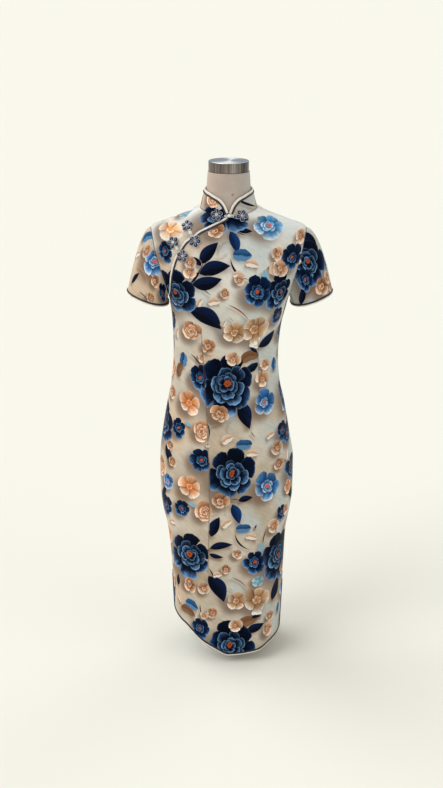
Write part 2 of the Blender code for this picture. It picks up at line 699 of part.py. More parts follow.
# ---------------------------------------------------------------- frogs
def local_frame(across, height, lift):
    """Middle, outward normal, and up and across directions on the front of the cloth."""
    angle, station = on_front(np.array([across]), np.array([height]))
    middle = cloth(angle, station, lift)[0]
    normal = ring_normal(angle, station)[0]
    up = np.array([0.0, 0.0, 1.0]) - normal * normal[2]
    up = up / np.linalg.norm(up)
    return middle, normal, up, np.cross(up, normal)


def rosette(name, collection):
    """A five-petalled rosette of coiled cord, as one domed solid.

    The outline swells at each petal, and the top falls from a raised ring to the rim.
    """
    frog = dict(zip(FROG_COLUMNS, FROGS[name]))
    turns, rings = 30, (0.30, 0.62, 0.88, 1.0)
    turn = np.linspace(0.0, 2 * np.pi, turns, endpoint=False)
    lobes = 0.5 + 0.5 * np.cos(FROG_PETALS * (turn - np.radians(frog["turn_deg"])))
    outline = FROG_RADIUS * (0.70 + 0.30 * lobes ** 0.7)
    seat = local_frame(frog["across"], frog["height"], frog["stand_off"])
    middle, normal, up, across_way = seat
    flat = np.cos(turn)[:, None] * across_way + np.sin(turn)[:, None] * up
    heights = np.array([0.72, 1.0, 0.80, 0.30]) * FROG_DEPTH
    top = [middle + flat * outline[:, None] * r + normal * h for r, h in zip(rings, heights)]
    loops = [middle + flat * outline[:, None]] + top[::-1]
    work = bmesh.new()
    made = [[work.verts.new(point) for point in loop] for loop in loops]
    for low, high in zip(made[:-1], made[1:]):
        for now in range(turns):
            after = (now + 1) % turns
            work.faces.new((low[now], low[after], high[after], high[now]))
    work.faces.new(made[0][::-1])
    work.faces.new(made[-1])
    bmesh.ops.recalc_face_normals(work, faces=work.faces)
    mesh = bpy.data.meshes.new(name)
    work.to_mesh(mesh)
    work.free()
    return place(name, mesh, "frog_satin", collection)


def make_frogs(collection):
    """Three pairs of rosettes, each with its knot between them."""
    for name in FROGS:
        rosette(name, collection)
    for name, (first, second) in KNOT_PAIRS.items():
        ends = np.array([FROGS[first][:2], FROGS[second][:2]])
        across, height = ends.mean(axis=0)
        middle = local_frame(across, height, KNOT_STAND_OFF)[0]
        work = bmesh.new()
        bmesh.ops.create_uvsphere(work, u_segments=12, v_segments=8, radius=KNOT_RADIUS)
        mesh = bpy.data.meshes.new(name)
        work.to_mesh(mesh)
        work.free()
        mesh.shade_smooth()
        knot = place(name, mesh, "frog_knot", collection)
        knot.location = middle


# ---------------------------------------------------------------- dress form and stand
def make_form(collection):
    """The limbless form: torso inside the cloth, and neck up to the cap."""
    turns = 32
    angle = np.linspace(0.0, 2 * np.pi, turns, endpoint=False)[None, :]
    bands = [(FORM_FLAT, 0.900, 11), (0.900, 1.090, 7), (1.090, 1.150, 4), (1.150, NECKLINE, 3)]
    station = stations_of(bands)[:, None]
    torso = body(angle, station, -FORM_GAP)
    neck = []
    for row in named_rows(NECK, NECK_COLUMNS):
        ring = np.stack([row["radius"] * np.cos(angle[0]),
                         NECK_AXIS_Y + row["radius"] * np.sin(angle[0]),
                         np.full(turns, row["height"])], axis=-1)
        neck.append(ring)
    points = np.concatenate([torso, np.array(neck)], axis=0)
    points = np.concatenate([points, points[:, :1]], axis=1)
    mesh = grid_mesh("form_torso", points)
    weld(mesh)
    work = bmesh.new()
    work.from_mesh(mesh)
    rims = [edge for edge in work.edges if edge.is_boundary]
    bmesh.ops.holes_fill(work, edges=rims, sides=0)
    bmesh.ops.recalc_face_normals(work, faces=work.faces)
    work.to_mesh(mesh)
    work.free()
    mesh.shade_smooth()
    mesh.set_sharp_from_angle(angle=np.radians(50.0))
    place("form_torso", mesh, "form_linen", collection)


def turned(name, profile, segments, finish, collection, on_figure=False):
    """A turned solid: a profile of (radius, height) spun round the upright axis."""
    mesh = bpy.data.meshes.new(name)
    points = [(radius, 0.0, height) for radius, height in profile]
    edges = [(i, i + 1) for i in range(len(points) - 1)]
    mesh.from_pydata(points, edges, [])
    piece = place(name, mesh, finish, collection, on_figure)
    piece.location = (0.0, NECK_AXIS_Y if on_figure else 0.0, 0.0)
    spin = piece.modifiers.new("turn", "SCREW")
    spin.steps = segments
    spin.render_steps = segments
    spin.use_merge_vertices = True
    spin.merge_threshold = 0.00005
    return piece


def make_stand(collection):
    """Steel cap on the neck, the short pole under the form, and its round base."""
    low, high, radius = CAP["bottom"] + SEAM_GAP, CAP["top"], CAP["radius"]
    turned("neck_cap", [(0.0, high), (radius - 0.0015, high), (radius, high - 0.0015),
                        (radius, low), (0.0, low)], 40, "cap_steel", collection, True)
    turned("pole", [(0.0, FORM_FLAT - SEAM_GAP), (POLE_RADIUS, FORM_FLAT - SEAM_GAP),
                    (POLE_RADIUS, BASE["collar_top"] + SEAM_GAP), (0.0, BASE["collar_top"] + SEAM_GAP)],
           20, "stand_steel", collection)
    turned("base", [(0.0, BASE["collar_top"]), (BASE["collar_radius"], BASE["collar_top"]),
                    (BASE["collar_radius"], BASE["thickness"]),
                    (BASE["radius"] - 0.003, BASE["thickness"]),
                    (BASE["radius"], BASE["thickness"] - 0.003),
                    (BASE["radius"], 0.0), (0.0, 0.0)], 48, "stand_steel", collection)


# ---------------------------------------------------------------- build
def main():
    """Empty the scene and make the dress on its form."""
    for leftover in list(bpy.data.objects):
        bpy.data.objects.remove(leftover)
    collection = bpy.data.collections.new("cheongsam_on_form")
    bpy.context.scene.collection.children.link(collection)
    figure = bpy.data.objects.new("figure", None)
    figure.location = FIGURE_AT
    collection.objects.link(figure)
    make_panels(collection)
    make_sleeves(collection)
    make_collar(collection)
    make_bindings(collection)
    make_frogs(collection)
    make_form(collection)
    make_stand(collection)


main()
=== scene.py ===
# %% [markdown]
# # A worn cheongsam on a limbless form
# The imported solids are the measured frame: where every panel, binding, frog and stand
# part is. This script gives each of them its finished surface. Everything that is cloth
# is worked out from one table of rings round the figure, so that panels, bindings and
# frogs share their edges.

import bpy
import numpy as np
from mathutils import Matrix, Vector


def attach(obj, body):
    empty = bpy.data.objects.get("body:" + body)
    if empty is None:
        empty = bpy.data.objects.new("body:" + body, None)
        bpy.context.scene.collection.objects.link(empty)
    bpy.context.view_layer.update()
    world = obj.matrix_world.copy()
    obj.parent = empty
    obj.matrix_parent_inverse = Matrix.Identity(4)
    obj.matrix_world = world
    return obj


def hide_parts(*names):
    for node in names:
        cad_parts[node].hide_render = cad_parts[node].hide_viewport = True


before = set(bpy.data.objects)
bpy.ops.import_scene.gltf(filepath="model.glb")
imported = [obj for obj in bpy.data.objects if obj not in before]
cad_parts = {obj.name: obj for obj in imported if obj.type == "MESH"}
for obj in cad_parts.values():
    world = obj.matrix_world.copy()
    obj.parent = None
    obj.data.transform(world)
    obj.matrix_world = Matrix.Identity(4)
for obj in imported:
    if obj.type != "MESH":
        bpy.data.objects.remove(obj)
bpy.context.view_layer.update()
ROOT = "root"

# %% [markdown]
# ## Sizes and rings
# A dress on a form is a stack of rings. Each row below names one ring: its heights at the
# side, middle front and middle back, how far it sways, its half-width, how far it reaches
# ahead and behind, and the power that rounds its corners. A smooth curve through each
# column gives every ring between. They are the same sizes that the solids were cut from.

# %% Named sizes
CLOTH = 0.0015            # wall of one layer
SEAM_GAP, SEAM_OPENS, SEAM_WIDENS = 0.0004, 0.900, 1.5   # wider from there to the underarm
UNDER_STEP = CLOTH + 0.0018   # how far the underlap lies below the front
DIP_WIDTH = 0.016
FORM_GAP = 0.0075         # outside of the cloth to the face of the form
FIGURE_AT = np.array([-0.0035, -0.0062, 0.0])
FORM_FLAT = 0.398         # height of the form's underside
HEM, SLIT_TOP, SLIT_HALF_GAP, CORNER = 0.018, 0.200, 0.0025, 0.030
UNDERARM, SHOULDER, NECKLINE = 0.957, 1.122, 1.250
ARMHOLE_SWING = np.radians(27.0)
ARM_MIDDLE, ARM_HALF = (SHOULDER + UNDERARM) / 2, (SHOULDER - UNDERARM) / 2
SLEEVE_HEM = {"height": 0.9505, "half_width": 0.0505, "half_depth": 0.0650,
              "middle_y": 0.0030, "tilt": np.radians(17.0)}
SLEEVE_SWELL, SLEEVE_STAND_OFF = 0.0060, 0.0012
CAP_PUSH_LEAST, CAP_PUSH_POWER, FLUTE_FADE = 0.002, 1.3, 0.6
ARM_RADIUS, SLEEVE_LENGTH, RIGHT_SLEEVE_CREASE = 0.058, 0.16, 0.85
COLLAR_TOP = {"half_width": 0.0570, "front_y": -0.0600, "back_y": 0.0570,
              "side_z": 1.2170, "front_z": 1.2080, "back_z": 1.2300}
COLLAR_OPEN, COLLAR_STAND_OFF = np.radians(1.3), 0.0010
UNDERLAP_REACH = 0.018    # how far the underlap reaches under the front
UNDERLAP_LOW = 0.9285
UNDERLAP_SINKS, UNDERLAP_SINK_OVER = 0.975, 0.018      # lower down it is all under the front
DIP_SHARE, DIP_KNEE, DIP_KNEE_DEPTH = 0.6, 0.45, 0.55
CREST_POWER = 1.6         # how sharply a ring's height rises to its middle

# %% Tables of the figure
def table(columns, **rows):
    """Named rows, each a dictionary by column name."""
    return {name: dict(zip(columns.split(), row)) for name, row in rows.items()}


def column(rows, name):
    """One named column of a table, as an array."""
    return np.array([row[name] for row in rows.values()], dtype=float)


RINGS = table(
    "station side_z front_z back_z middle_x half_width front_y back_y side_y power",
    hem=(0.000, 0.000, 0.000, 0.000, 0.000, 0.1340, -0.1130, 0.1130, 0.000, 2.5),
    calf=(0.123, 0.123, 0.123, 0.123, -0.001, 0.1400, -0.1140, 0.1160, 0.001, 2.4),
    knee=(0.240, 0.240, 0.240, 0.240, -0.001, 0.1450, -0.1150, 0.1190, 0.002, 2.3),
    thigh=(0.340, 0.340, 0.340, 0.340, -0.003, 0.1520, -0.1160, 0.1230, 0.003, 2.2),
    form_edge=(0.405, 0.405, 0.405, 0.405, -0.004, 0.1640, -0.1175, 0.1270, 0.004, 2.15),
    low_hip=(0.450, 0.450, 0.450, 0.450, -0.004, 0.1690, -0.1180, 0.1300, 0.005, 2.15),
    hip=(0.530, 0.530, 0.530, 0.530, -0.004, 0.1690, -0.1180, 0.1320, 0.005, 2.15),
    high_hip=(0.610, 0.610, 0.610, 0.610, -0.006, 0.1590, -0.1150, 0.1260, 0.004, 2.15),
    belly=(0.685, 0.685, 0.685, 0.685, -0.006, 0.1460, -0.1080, 0.1120, 0.003, 2.15),
    low_waist=(0.745, 0.745, 0.745, 0.745, -0.007, 0.1340, -0.0980, 0.0980, 0.001, 2.15),
    waist=(0.815, 0.815, 0.815, 0.815, -0.006, 0.1290, -0.0910, 0.0890, 0.000, 2.15),
    rib=(0.880, 0.880, 0.878, 0.880, -0.004, 0.1325, -0.1030, 0.0940, 0.000, 2.15),
    underarm=(0.945, 0.945, 0.940, 0.945, 0.000, 0.1430, -0.1160, 0.1030, 0.000, 2.2),
    bust=(0.985, 0.985, 0.975, 0.985, 0.000, 0.1560, -0.1180, 0.1080, 0.000, 2.3),
    chest=(1.045, 1.045, 1.030, 1.043, 0.000, 0.1790, -0.1090, 0.1090, 0.001, 2.4),
    upper_chest=(1.090, 1.090, 1.068, 1.080, 0.000, 0.1880, -0.0990, 0.1040, 0.003, 2.25),
    tip=(1.122, 1.123, 1.094, 1.106, 0.000, 0.1860, -0.0920, 0.0970, 0.005, 2.1),
    shoulder=(1.165, 1.142, 1.120, 1.135, 0.000, 0.1460, -0.0840, 0.0870, 0.006, 2.05),
    yoke=(1.210, 1.158, 1.143, 1.163, 0.000, 0.1020, -0.0770, 0.0750, 0.003, 2.05),
    neck=(1.250, 1.174, 1.163, 1.190, 0.000, 0.0680, -0.0700, 0.0620, -0.002, 2.05))
FOLD_HEAD_FADE, FOLD_FOOT_FADE, CREASE_FADE = 0.45, 0.35, 0.33
ROUNDS = table(
    "angle_deg station spread_deg spread_m rise",
    bust_right=(-121.0, 0.975, 19.0, 0.050, 0.0100),
    bust_left=(-59.0, 0.975, 19.0, 0.050, 0.0100),
    blade_right=(122.0, 1.060, 22.0, 0.055, 0.0030),
    blade_left=(58.0, 1.060, 22.0, 0.055, 0.0030),
    seat_right=(118.0, 0.500, 24.0, 0.080, 0.0040),
    seat_left=(62.0, 0.500, 24.0, 0.080, 0.0040),
    belly=(-90.0, 0.600, 26.0, 0.080, 0.0030))
FOLDS = table(
    "foot_deg foot head_deg head half_width rise",
    skirt_ridge_left=(-58.0, 0.000, -66.0, 0.520, 0.022, 0.0050),
    skirt_trough_mid=(-80.0, 0.000, -84.0, 0.400, 0.024, -0.0030),
    skirt_ridge_right=(-112.0, 0.000, -108.0, 0.470, 0.022, 0.0045),
    skirt_trough_right=(-138.0, 0.020, -132.0, 0.380, 0.020, -0.0030),
    back_ridge_left=(62.0, 0.000, 68.0, 0.430, 0.024, 0.0050),
    back_trough_mid=(88.0, 0.000, 90.0, 0.440, 0.026, -0.0035),
    back_ridge_right=(116.0, 0.000, 112.0, 0.450, 0.024, 0.0050),
    waist_drag_left=(-40.0, 0.720, -72.0, 0.830, 0.010, 0.0022),
    waist_drag_right=(-141.0, 0.735, -112.0, 0.850, 0.010, 0.0022),
    bust_drag_left=(-62.0, 0.935, -33.0, 1.030, 0.011, 0.0024),
    bust_drag_right=(-118.0, 0.930, -146.0, 0.985, 0.011, 0.0022),
    back_waist_left=(50.0, 0.790, 78.0, 0.850, 0.011, 0.0024),
    back_waist_right=(130.0, 0.800, 104.0, 0.865, 0.011, 0.0024))
SLEEVES = table(
    "side hem_across cap_push cap_drop",
    sleeve_left=(1, 0.2020, 0.0330, 0.25),
    sleeve_right=(-1, 0.1950, 0.0230, 0.05))
SLEEVE_FOLDS = table(
    "place_deg wide_deg rise",
    front_flute=(205.0, 24.0, 0.0035),
    front_hollow=(150.0, 20.0, -0.0020),
    back_flute=(-20.0, 26.0, 0.0035),
    outer_hollow=(60.0, 22.0, -0.0015))
HEM_CURVES = table("rise power", wearers_right=(0.097, 1.08), wearers_left=(0.042, 1.90))
HEM_FADE = 0.300          # above this height the rows are level again
HEM_ROUND = 0.0045
PLACKET_MEET = 0.022      # height over which the opening runs into the side seam

# The slanted opening from the middle of the neck to the wearer's right underarm, as
# chalked on the front: across from the middle, and height.
PLACKET = table(
    "across height",
    neck=(-0.0030, 1.1620),
    first=(-0.0380, 1.1440),
    first_frog=(-0.0710, 1.1270),
    bend=(-0.0930, 1.1120),
    second_frog=(-0.1130, 1.0900),
    turn=(-0.1260, 1.0660),
    fall=(-0.1340, 1.0350),
    side=(-0.1365, 1.0000),
    end=(-0.1395, 0.9560))
COLLAR_EDGE = table(
    "across rise",
    seam=(0.0000, 0.0030),
    throat=(0.0030, 0.0110),
    curve=(0.0110, 0.0260),
    swell=(0.0270, 0.0385),
    top=(0.0520, 0.0445))
NECK = table(
    "height radius",
    collar_low=(1.1880, 0.0560),
    collar_mid=(1.2050, 0.0533),
    collar_high=(1.2250, 0.0520),
    below_cap=(1.2520, 0.0502),
    top=(1.2580, 0.0495))
NECK_AXIS_Y = -0.0020


# %% Curves through tables
def smooth(at, known_at, known):
    """Cubic through the known points that never overshoots them.

    Each slope is the harmonic mean of the slopes on its two sides, or 0 at a peak.
    """
    step = np.diff(known_at)
    rate = np.diff(known) / step
    slope = np.zeros_like(known)
    slope[0], slope[-1] = rate[0], rate[-1]
    same_way = rate[:-1] * rate[1:] > 0
    pair_sum = np.where(same_way, rate[:-1] + rate[1:], 1.0)
    slope[1:-1] = np.where(same_way, 2 * rate[:-1] * rate[1:] / pair_sum, 0.0)
    where = np.clip(np.searchsorted(known_at, at) - 1, 0, len(step) - 1)
    width = step[where]
    t = np.clip((at - known_at[where]) / width, 0.0, 1.0)
    low = known[where] * (2 * t**3 - 3 * t**2 + 1) + slope[where] * width * (t**3 - 2 * t**2 + t)
    high = known[where + 1] * (3 * t**2 - 2 * t**3) + slope[where + 1] * width * (t**3 - t**2)
    return low + high


def ring_value(name, station):
    """A column of the ring table, smoothed along the stations."""
    return smooth(station, column(RINGS, "station"), column(RINGS, name))


def soft_step(t):
    """0 to 1 with level ends: t t (3 - 2 t)."""
    t = np.clip(t, 0.0, 1.0)
    return t * t * (3 - 2 * t)


def unit(vectors):
    """Vectors brought to length 1."""
    return vectors / np.maximum(np.linalg.norm(vectors, axis=-1, keepdims=True), 1e-12)


def run_along(points, axis=0):
    """Length run from the first point, along one axis of a grid of points."""
    step = np.linalg.norm(np.diff(points, axis=axis), axis=-1)
    return np.insert(np.cumsum(step, axis=axis), 0, 0.0, axis=axis)


def wrapped(angle):
    """An angle brought to -180 to 180 degrees."""
    return (angle + np.pi) % (2 * np.pi) - np.pi


def whole_turn(count):
    """Equal angles once round."""
    return np.linspace(0.0, 2 * np.pi, count, endpoint=False)


print("rings:", len(RINGS), "waist half-width", RINGS["waist"]["half_width"])

# %% [markdown]
# ## The dressed surface
# Satin over a figure is that figure's own shape, softened, with a few long folds where the
# cloth hangs free and short drag lines where it is pulled. A sculpted mesh would do, but a
# formula keeps every edge in step: a point of the cloth is a ring point, moved out along
# the ring's normal by the sum of bells for the bust and seat, the folds, and the creases.

# %% The surface as formulas
def ring_point(angle, station):
    """Point of the bare ring: a superellipse with its own front, back and side heights."""
    power = ring_value("power", station)
    cosine, sine = np.cos(angle), np.sin(angle)
    reach = np.sign(cosine) * np.abs(cosine) ** (2 / power)
    depth = np.abs(sine) ** (2 / power)
    side_y, side_z = ring_value("side_y", station), ring_value("side_z", station)
    ahead = sine < 0
    end_y = np.where(ahead, ring_value("front_y", station), ring_value("back_y", station))
    end_z = np.where(ahead, ring_value("front_z", station), ring_value("back_z", station))
    x = ring_value("middle_x", station) + ring_value("half_width", station) * reach
    y = side_y + (end_y - side_y) * depth
    z = side_z + (end_z - side_z) * np.abs(sine) ** CREST_POWER
    return np.stack([x, y, z], axis=-1)


def ring_normal(angle, station):
    """Outward normal of the bare rings, from two short steps across and up."""
    turn, climb = 1e-3, 1e-3
    across = ring_point(angle + turn, station) - ring_point(angle - turn, station)
    up = ring_point(angle, station + climb) - ring_point(angle, station - climb)
    return unit(np.cross(across, up))


def rounds(angle, station):
    """Rise of the bust, blades, seat and belly: a bell round each middle."""
    total = np.zeros(np.broadcast(angle, station).shape)
    for swell in ROUNDS.values():
        turn = wrapped(angle - np.radians(swell["angle_deg"])) / np.radians(swell["spread_deg"])
        climb = (station - swell["station"]) / swell["spread_m"]
        total = total + swell["rise"] * np.exp(-0.5 * (turn**2 + climb**2))
    return total


def folds(angle, station):
    """Rise of the long folds: a bell across each line, fading at its head and foot."""
    total = np.zeros(np.broadcast(angle, station).shape)
    half_width = ring_value("half_width", station)
    for fold in FOLDS.values():
        along = (station - fold["foot"]) / (fold["head"] - fold["foot"])
        turn = fold["head_deg"] - fold["foot_deg"]
        line = np.radians(fold["foot_deg"] + turn * np.clip(along, 0.0, 1.0))
        off = wrapped(angle - line) * half_width / fold["half_width"]
        fade = soft_step((1 - along) / FOLD_HEAD_FADE)
        if fold["foot"] > SLIT_TOP:
            fade = fade * soft_step(along / FOLD_FOOT_FADE)
        total = total + fold["rise"] * np.exp(-off**2) * fade
    return total


def body(angle, station, lift=0.0):
    """Point of the figure, lifted off along its normal."""
    angle, station = np.broadcast_arrays(angle, station)
    rise = rounds(angle, station) + lift
    return ring_point(angle, station) + ring_normal(angle, station) * rise[..., None]


# %% [markdown]
# ## Short creases
# Satin that is worn pulls in short lines: from the bust to the underarm, across the waist
# where the body bends in, and off the frogs. Simulated cloth would give other lines each
# time the sizes change, so each crease is listed one by one: its two ends, its half-width and
# its rise, uneven in length and depth as on a worn dress.

# %% Creases placed one by one
CREASES = table(
    "from_deg from_station to_deg to_station half_width rise",
    right_bust_to_arm=(-128.0, 0.955, -158.0, 0.985, 0.0060, 0.0014),
    right_bust_under=(-118.0, 0.925, -150.0, 0.945, 0.0070, -0.0012),
    left_bust_to_arm=(-52.0, 0.955, -24.0, 0.992, 0.0060, 0.0014),
    left_bust_under=(-60.0, 0.925, -28.0, 0.950, 0.0070, -0.0012),
    left_chest=(-50.0, 1.010, -36.0, 1.085, 0.0070, 0.0012),
    left_chest_hollow=(-56.0, 1.000, -44.0, 1.075, 0.0080, -0.0010),
    right_frog_drag=(-112.0, 1.075, -100.0, 1.120, 0.0050, 0.0009),
    right_frog_hollow=(-116.0, 1.055, -96.0, 1.090, 0.0060, -0.0009),
    throat_drag=(-98.0, 1.140, -84.0, 1.105, 0.0050, 0.0008),
    left_yoke=(-70.0, 1.150, -50.0, 1.120, 0.0060, 0.0009),
    waist_right_one=(-172.0, 0.800, -128.0, 0.824, 0.0055, -0.0016),
    waist_right_two=(-170.0, 0.832, -136.0, 0.842, 0.0060, 0.0013),
    waist_right_low=(-168.0, 0.762, -140.0, 0.786, 0.0065, 0.0012),
    waist_left_one=(-8.0, 0.805, -46.0, 0.822, 0.0055, -0.0015),
    waist_left_two=(-9.0, 0.838, -40.0, 0.846, 0.0060, 0.0013),
    waist_left_low=(-10.0, 0.768, -38.0, 0.790, 0.0065, 0.0011),
    belly_smile=(-112.0, 0.742, -74.0, 0.736, 0.0080, 0.0008),
    hip_right=(-160.0, 0.560, -128.0, 0.600, 0.0090, 0.0012),
    hip_left=(-22.0, 0.548, -50.0, 0.592, 0.0090, 0.0011),
    lap_hollow=(-106.0, 0.470, -72.0, 0.462, 0.0140, -0.0012),
    thigh_right=(-146.0, 0.330, -132.0, 0.480, 0.0110, 0.0016),
    thigh_left=(-36.0, 0.300, -46.0, 0.450, 0.0110, 0.0015),
    knee_right=(-128.0, 0.060, -122.0, 0.250, 0.0090, -0.0014),
    knee_left=(-44.0, 0.080, -52.0, 0.230, 0.0100, -0.0014),
    back_waist_one=(42.0, 0.806, 96.0, 0.816, 0.0060, -0.0017),
    back_waist_two=(58.0, 0.838, 128.0, 0.834, 0.0065, 0.0015),
    back_waist_low=(50.0, 0.772, 122.0, 0.780, 0.0075, 0.0014),
    back_waist_right=(96.0, 0.800, 140.0, 0.808, 0.0060, -0.0015),
    back_blade_left=(38.0, 0.985, 56.0, 1.050, 0.0080, 0.0014),
    back_blade_right=(143.0, 0.980, 126.0, 1.045, 0.0080, 0.0013),
    seat_left=(40.0, 0.430, 70.0, 0.455, 0.0110, -0.0014),
    seat_right=(138.0, 0.436, 112.0, 0.458, 0.0110, -0.0013))
SLEEVE_CREASES = table(
    "from_deg from_share to_deg to_share wide_deg rise",
    front_arm_drag=(228.0, 0.05, 200.0, 0.85, 9.0, 0.0014),
    front_arm_hollow=(214.0, 0.10, 176.0, 0.80, 8.0, -0.0012),
    cap_soft=(150.0, 0.05, 128.0, 0.60, 10.0, 0.0009),
    back_arm_drag=(-48.0, 0.06, -14.0, 0.85, 9.0, 0.0014),
    back_arm_hollow=(-30.0, 0.12, 8.0, 0.78, 8.0, -0.0012),
    under_tuck=(262.0, 0.02, 248.0, 0.70, 8.0, -0.0014))


def bells_along(rows, turn, climb, turn_scale, climb_scale=1.0):
    """Sum of creases: a bell across each straight line, level at both of its ends.

    A place is carried to distances along and across the line. The bell is exp(-(across /
    half-width)^2), and the ends fade over a third of the length.
    """
    total = np.zeros(np.broadcast(turn, climb).shape)
    for row in rows:
        start_deg, start, end_deg, end, wide, rise = row.values()
        run = np.radians(end_deg - start_deg) * turn_scale
        lift = (end - start) * climb_scale
        length = np.hypot(run, lift)
        ahead = wrapped(turn - np.radians(start_deg)) * turn_scale
        above = (climb - start) * climb_scale
        along = (ahead * run + above * lift) / length**2
        across = (above * run - ahead * lift) / length
        fade = soft_step(along / CREASE_FADE) * soft_step((1 - along) / CREASE_FADE)
        total = total + rise * fade * np.exp(-(across / wide) ** 2)
    return total


def cloth(angle, station, lift=0.0):
    """Point of the finished cloth: the figure plus its long folds and short creases."""
    angle, station = np.broadcast_arrays(angle, station)
    half_width = ring_value("half_width", station)
    creases = bells_along(CREASES.values(), angle, station, half_width)
    return body(angle, station, folds(angle, station) + creases + lift)


def sleeve_creases(name, turn, share):
    """Rise of a sleeve's creases; the wearer's right sleeve has them a little weaker."""
    rows = [{**row, "wide_deg": np.radians(row["wide_deg"]) * ARM_RADIUS}
            for row in SLEEVE_CREASES.values()]
    strength = 1.0 if name == "sleeve_left" else RIGHT_SLEEVE_CREASE
    return strength * bells_along(rows, turn, share, ARM_RADIUS, SLEEVE_LENGTH)


print("creases:", len(CREASES), "on the body,", len(SLEEVE_CREASES), "on each sleeve")


# %% Places on the front
def on_front(across, height):
    """Angle and station of the cloth's front at a place given across and up, by halving."""
    low, high = np.full_like(across, 0.5), np.full_like(across, NECKLINE)
    for _ in range(40):
        station = (low + high) / 2
        share = np.clip(np.abs(across) / ring_value("half_width", station), 0.0, 1.0)
        turn = np.arccos(share ** (ring_value("power", station) / 2))
        angle = np.where(across > 0, -turn, turn - np.pi)
        below = cloth(angle, station)[..., 2] < height
        low = np.where(below, station, low)
        high = np.where(below, high, station)
    return angle, station


# %% [markdown]
# ## Where the panels end
# The front, back and underlap are cut from that one surface. Each has an edge rule that
# gives its first and last angle at a height: slit, side seam, armhole, shoulder seam, and
# for the front the slanted opening. Rows near the hem climb with the hem's curve.

# %% Edge rules
def armhole_turn(station):
    """How far the armhole's edge stands from the side line: an ellipse in angle."""
    share = np.clip((station - ARM_MIDDLE) / ARM_HALF, -1.0, 1.0)
    return ARMHOLE_SWING * np.sqrt(1 - share**2)


def slit_turn(station):
    """How far a panel's side edge stands back from the side line, as an angle."""
    half_width = ring_value("half_width", station)
    open_gap = SLIT_HALF_GAP * (1 + soft_step((SLIT_TOP - station) / SLIT_TOP))
    climb = (station - SEAM_OPENS) / (UNDERARM - SEAM_OPENS)
    seam_gap = SEAM_GAP * (1 + SEAM_WIDENS * soft_step(climb))
    gap = np.where(station < SLIT_TOP, open_gap, seam_gap)
    corner = np.clip((HEM + CORNER - station) / CORNER, 0.0, 1.0)
    gap = gap + CORNER * (1 - np.sqrt(1 - corner**2))
    depth = np.minimum(np.abs(ring_value("front_y", station)), ring_value("back_y", station))
    share = np.clip(gap / depth, 0.0, 1.0)
    turn = np.arcsin(share ** (ring_value("power", station) / 2))
    return np.maximum(turn, gap / half_width)


def side_turn(station):
    """Edge of a plain panel from the side line: slit, side seam, armhole or shoulder."""
    return np.maximum(slit_turn(station), armhole_turn(station))


def placket_line():
    """Angle and station of the placket's chalked points, from underarm to neck."""
    angle, station = on_front(column(PLACKET, "across")[::-1], column(PLACKET, "height")[::-1])
    station[-1] = NECKLINE
    return angle, station


PLACKET_ANGLE, PLACKET_STATION = placket_line()


def placket_angle(station):
    """Angle of the placket at each station; below it, the panel's side edge."""
    edge = smooth(station, PLACKET_STATION, PLACKET_ANGLE)
    side = -np.pi + side_turn(station)
    start = PLACKET_STATION[0]
    share = soft_step((station - start + PLACKET_MEET) / PLACKET_MEET)
    return np.where(station < start, side + (edge - side) * share, edge)


# %% Grids of the panels
ROW_STEP = 0.0025         # rows of the finished cloth
BODY_COLUMNS = 160
UNDERLAP_COLUMNS = (20, 4, 4, 8)
ARMHOLE_ROWS = 104
ABOVE_ROWS = 52


def armhole_stations():
    """Rows from underarm to shoulder tip, at equal turns round the armhole."""
    turn = np.linspace(-np.pi / 2, np.pi / 2, ARMHOLE_ROWS + 1)
    return ARM_MIDDLE + ARM_HALF * np.sin(turn)


def body_rows(start):
    """Row stations of a body panel from its start, by fours: low part, armhole, neck."""
    low_count = 4 * int(round((UNDERARM - start) / ROW_STEP / 4))
    low = np.linspace(start, UNDERARM, low_count, endpoint=False)
    high = np.linspace(SHOULDER, NECKLINE, ABOVE_ROWS + 1)[1:]
    return np.concatenate([low, armhole_stations(), high])


def hem_rise(angle):
    """How far the hem stands above its lowest point, which is rounded by a few mm."""
    share = np.abs(np.cos(angle)) ** (2 / ring_value("power", 0.0))
    right, left = HEM_CURVES.values()
    right_rise = right["rise"] * share ** right["power"]
    left_rise = left["rise"] * share ** left["power"]
    return np.hypot(np.where(np.cos(angle) < 0, right_rise, left_rise), HEM_ROUND)


def panel_field(first_edge, last_edge, rows, columns):
    """Angles and stations of a panel's grid between two edge rules.

    Rows near the hem climb with the hem's curve, and fade to level above it.
    """
    share = np.linspace(0.0, 1.0, columns + 1)[None, :]
    level = rows[:, None] * np.ones_like(share)
    station = level
    for _ in range(3):
        start = first_edge(station[:, 0])[:, None]
        stop = last_edge(station[:, -1])[:, None]
        angle = start + (stop - start) * share
        fade = np.clip(1 - (level - HEM) / HEM_FADE, 0.0, 1.0) ** 2
        station = level + hem_rise(angle) * fade
    return angle, station


def front_field():
    """Front panel: from the placket and right side seam round to the left edge."""
    return panel_field(placket_angle, lambda s: -side_turn(s), body_rows(HEM), BODY_COLUMNS)


def back_field():
    """Back panel: from the wearer's left edge round behind to the right."""
    last = lambda s: np.pi - side_turn(s)
    return panel_field(side_turn, last, body_rows(HEM), BODY_COLUMNS)


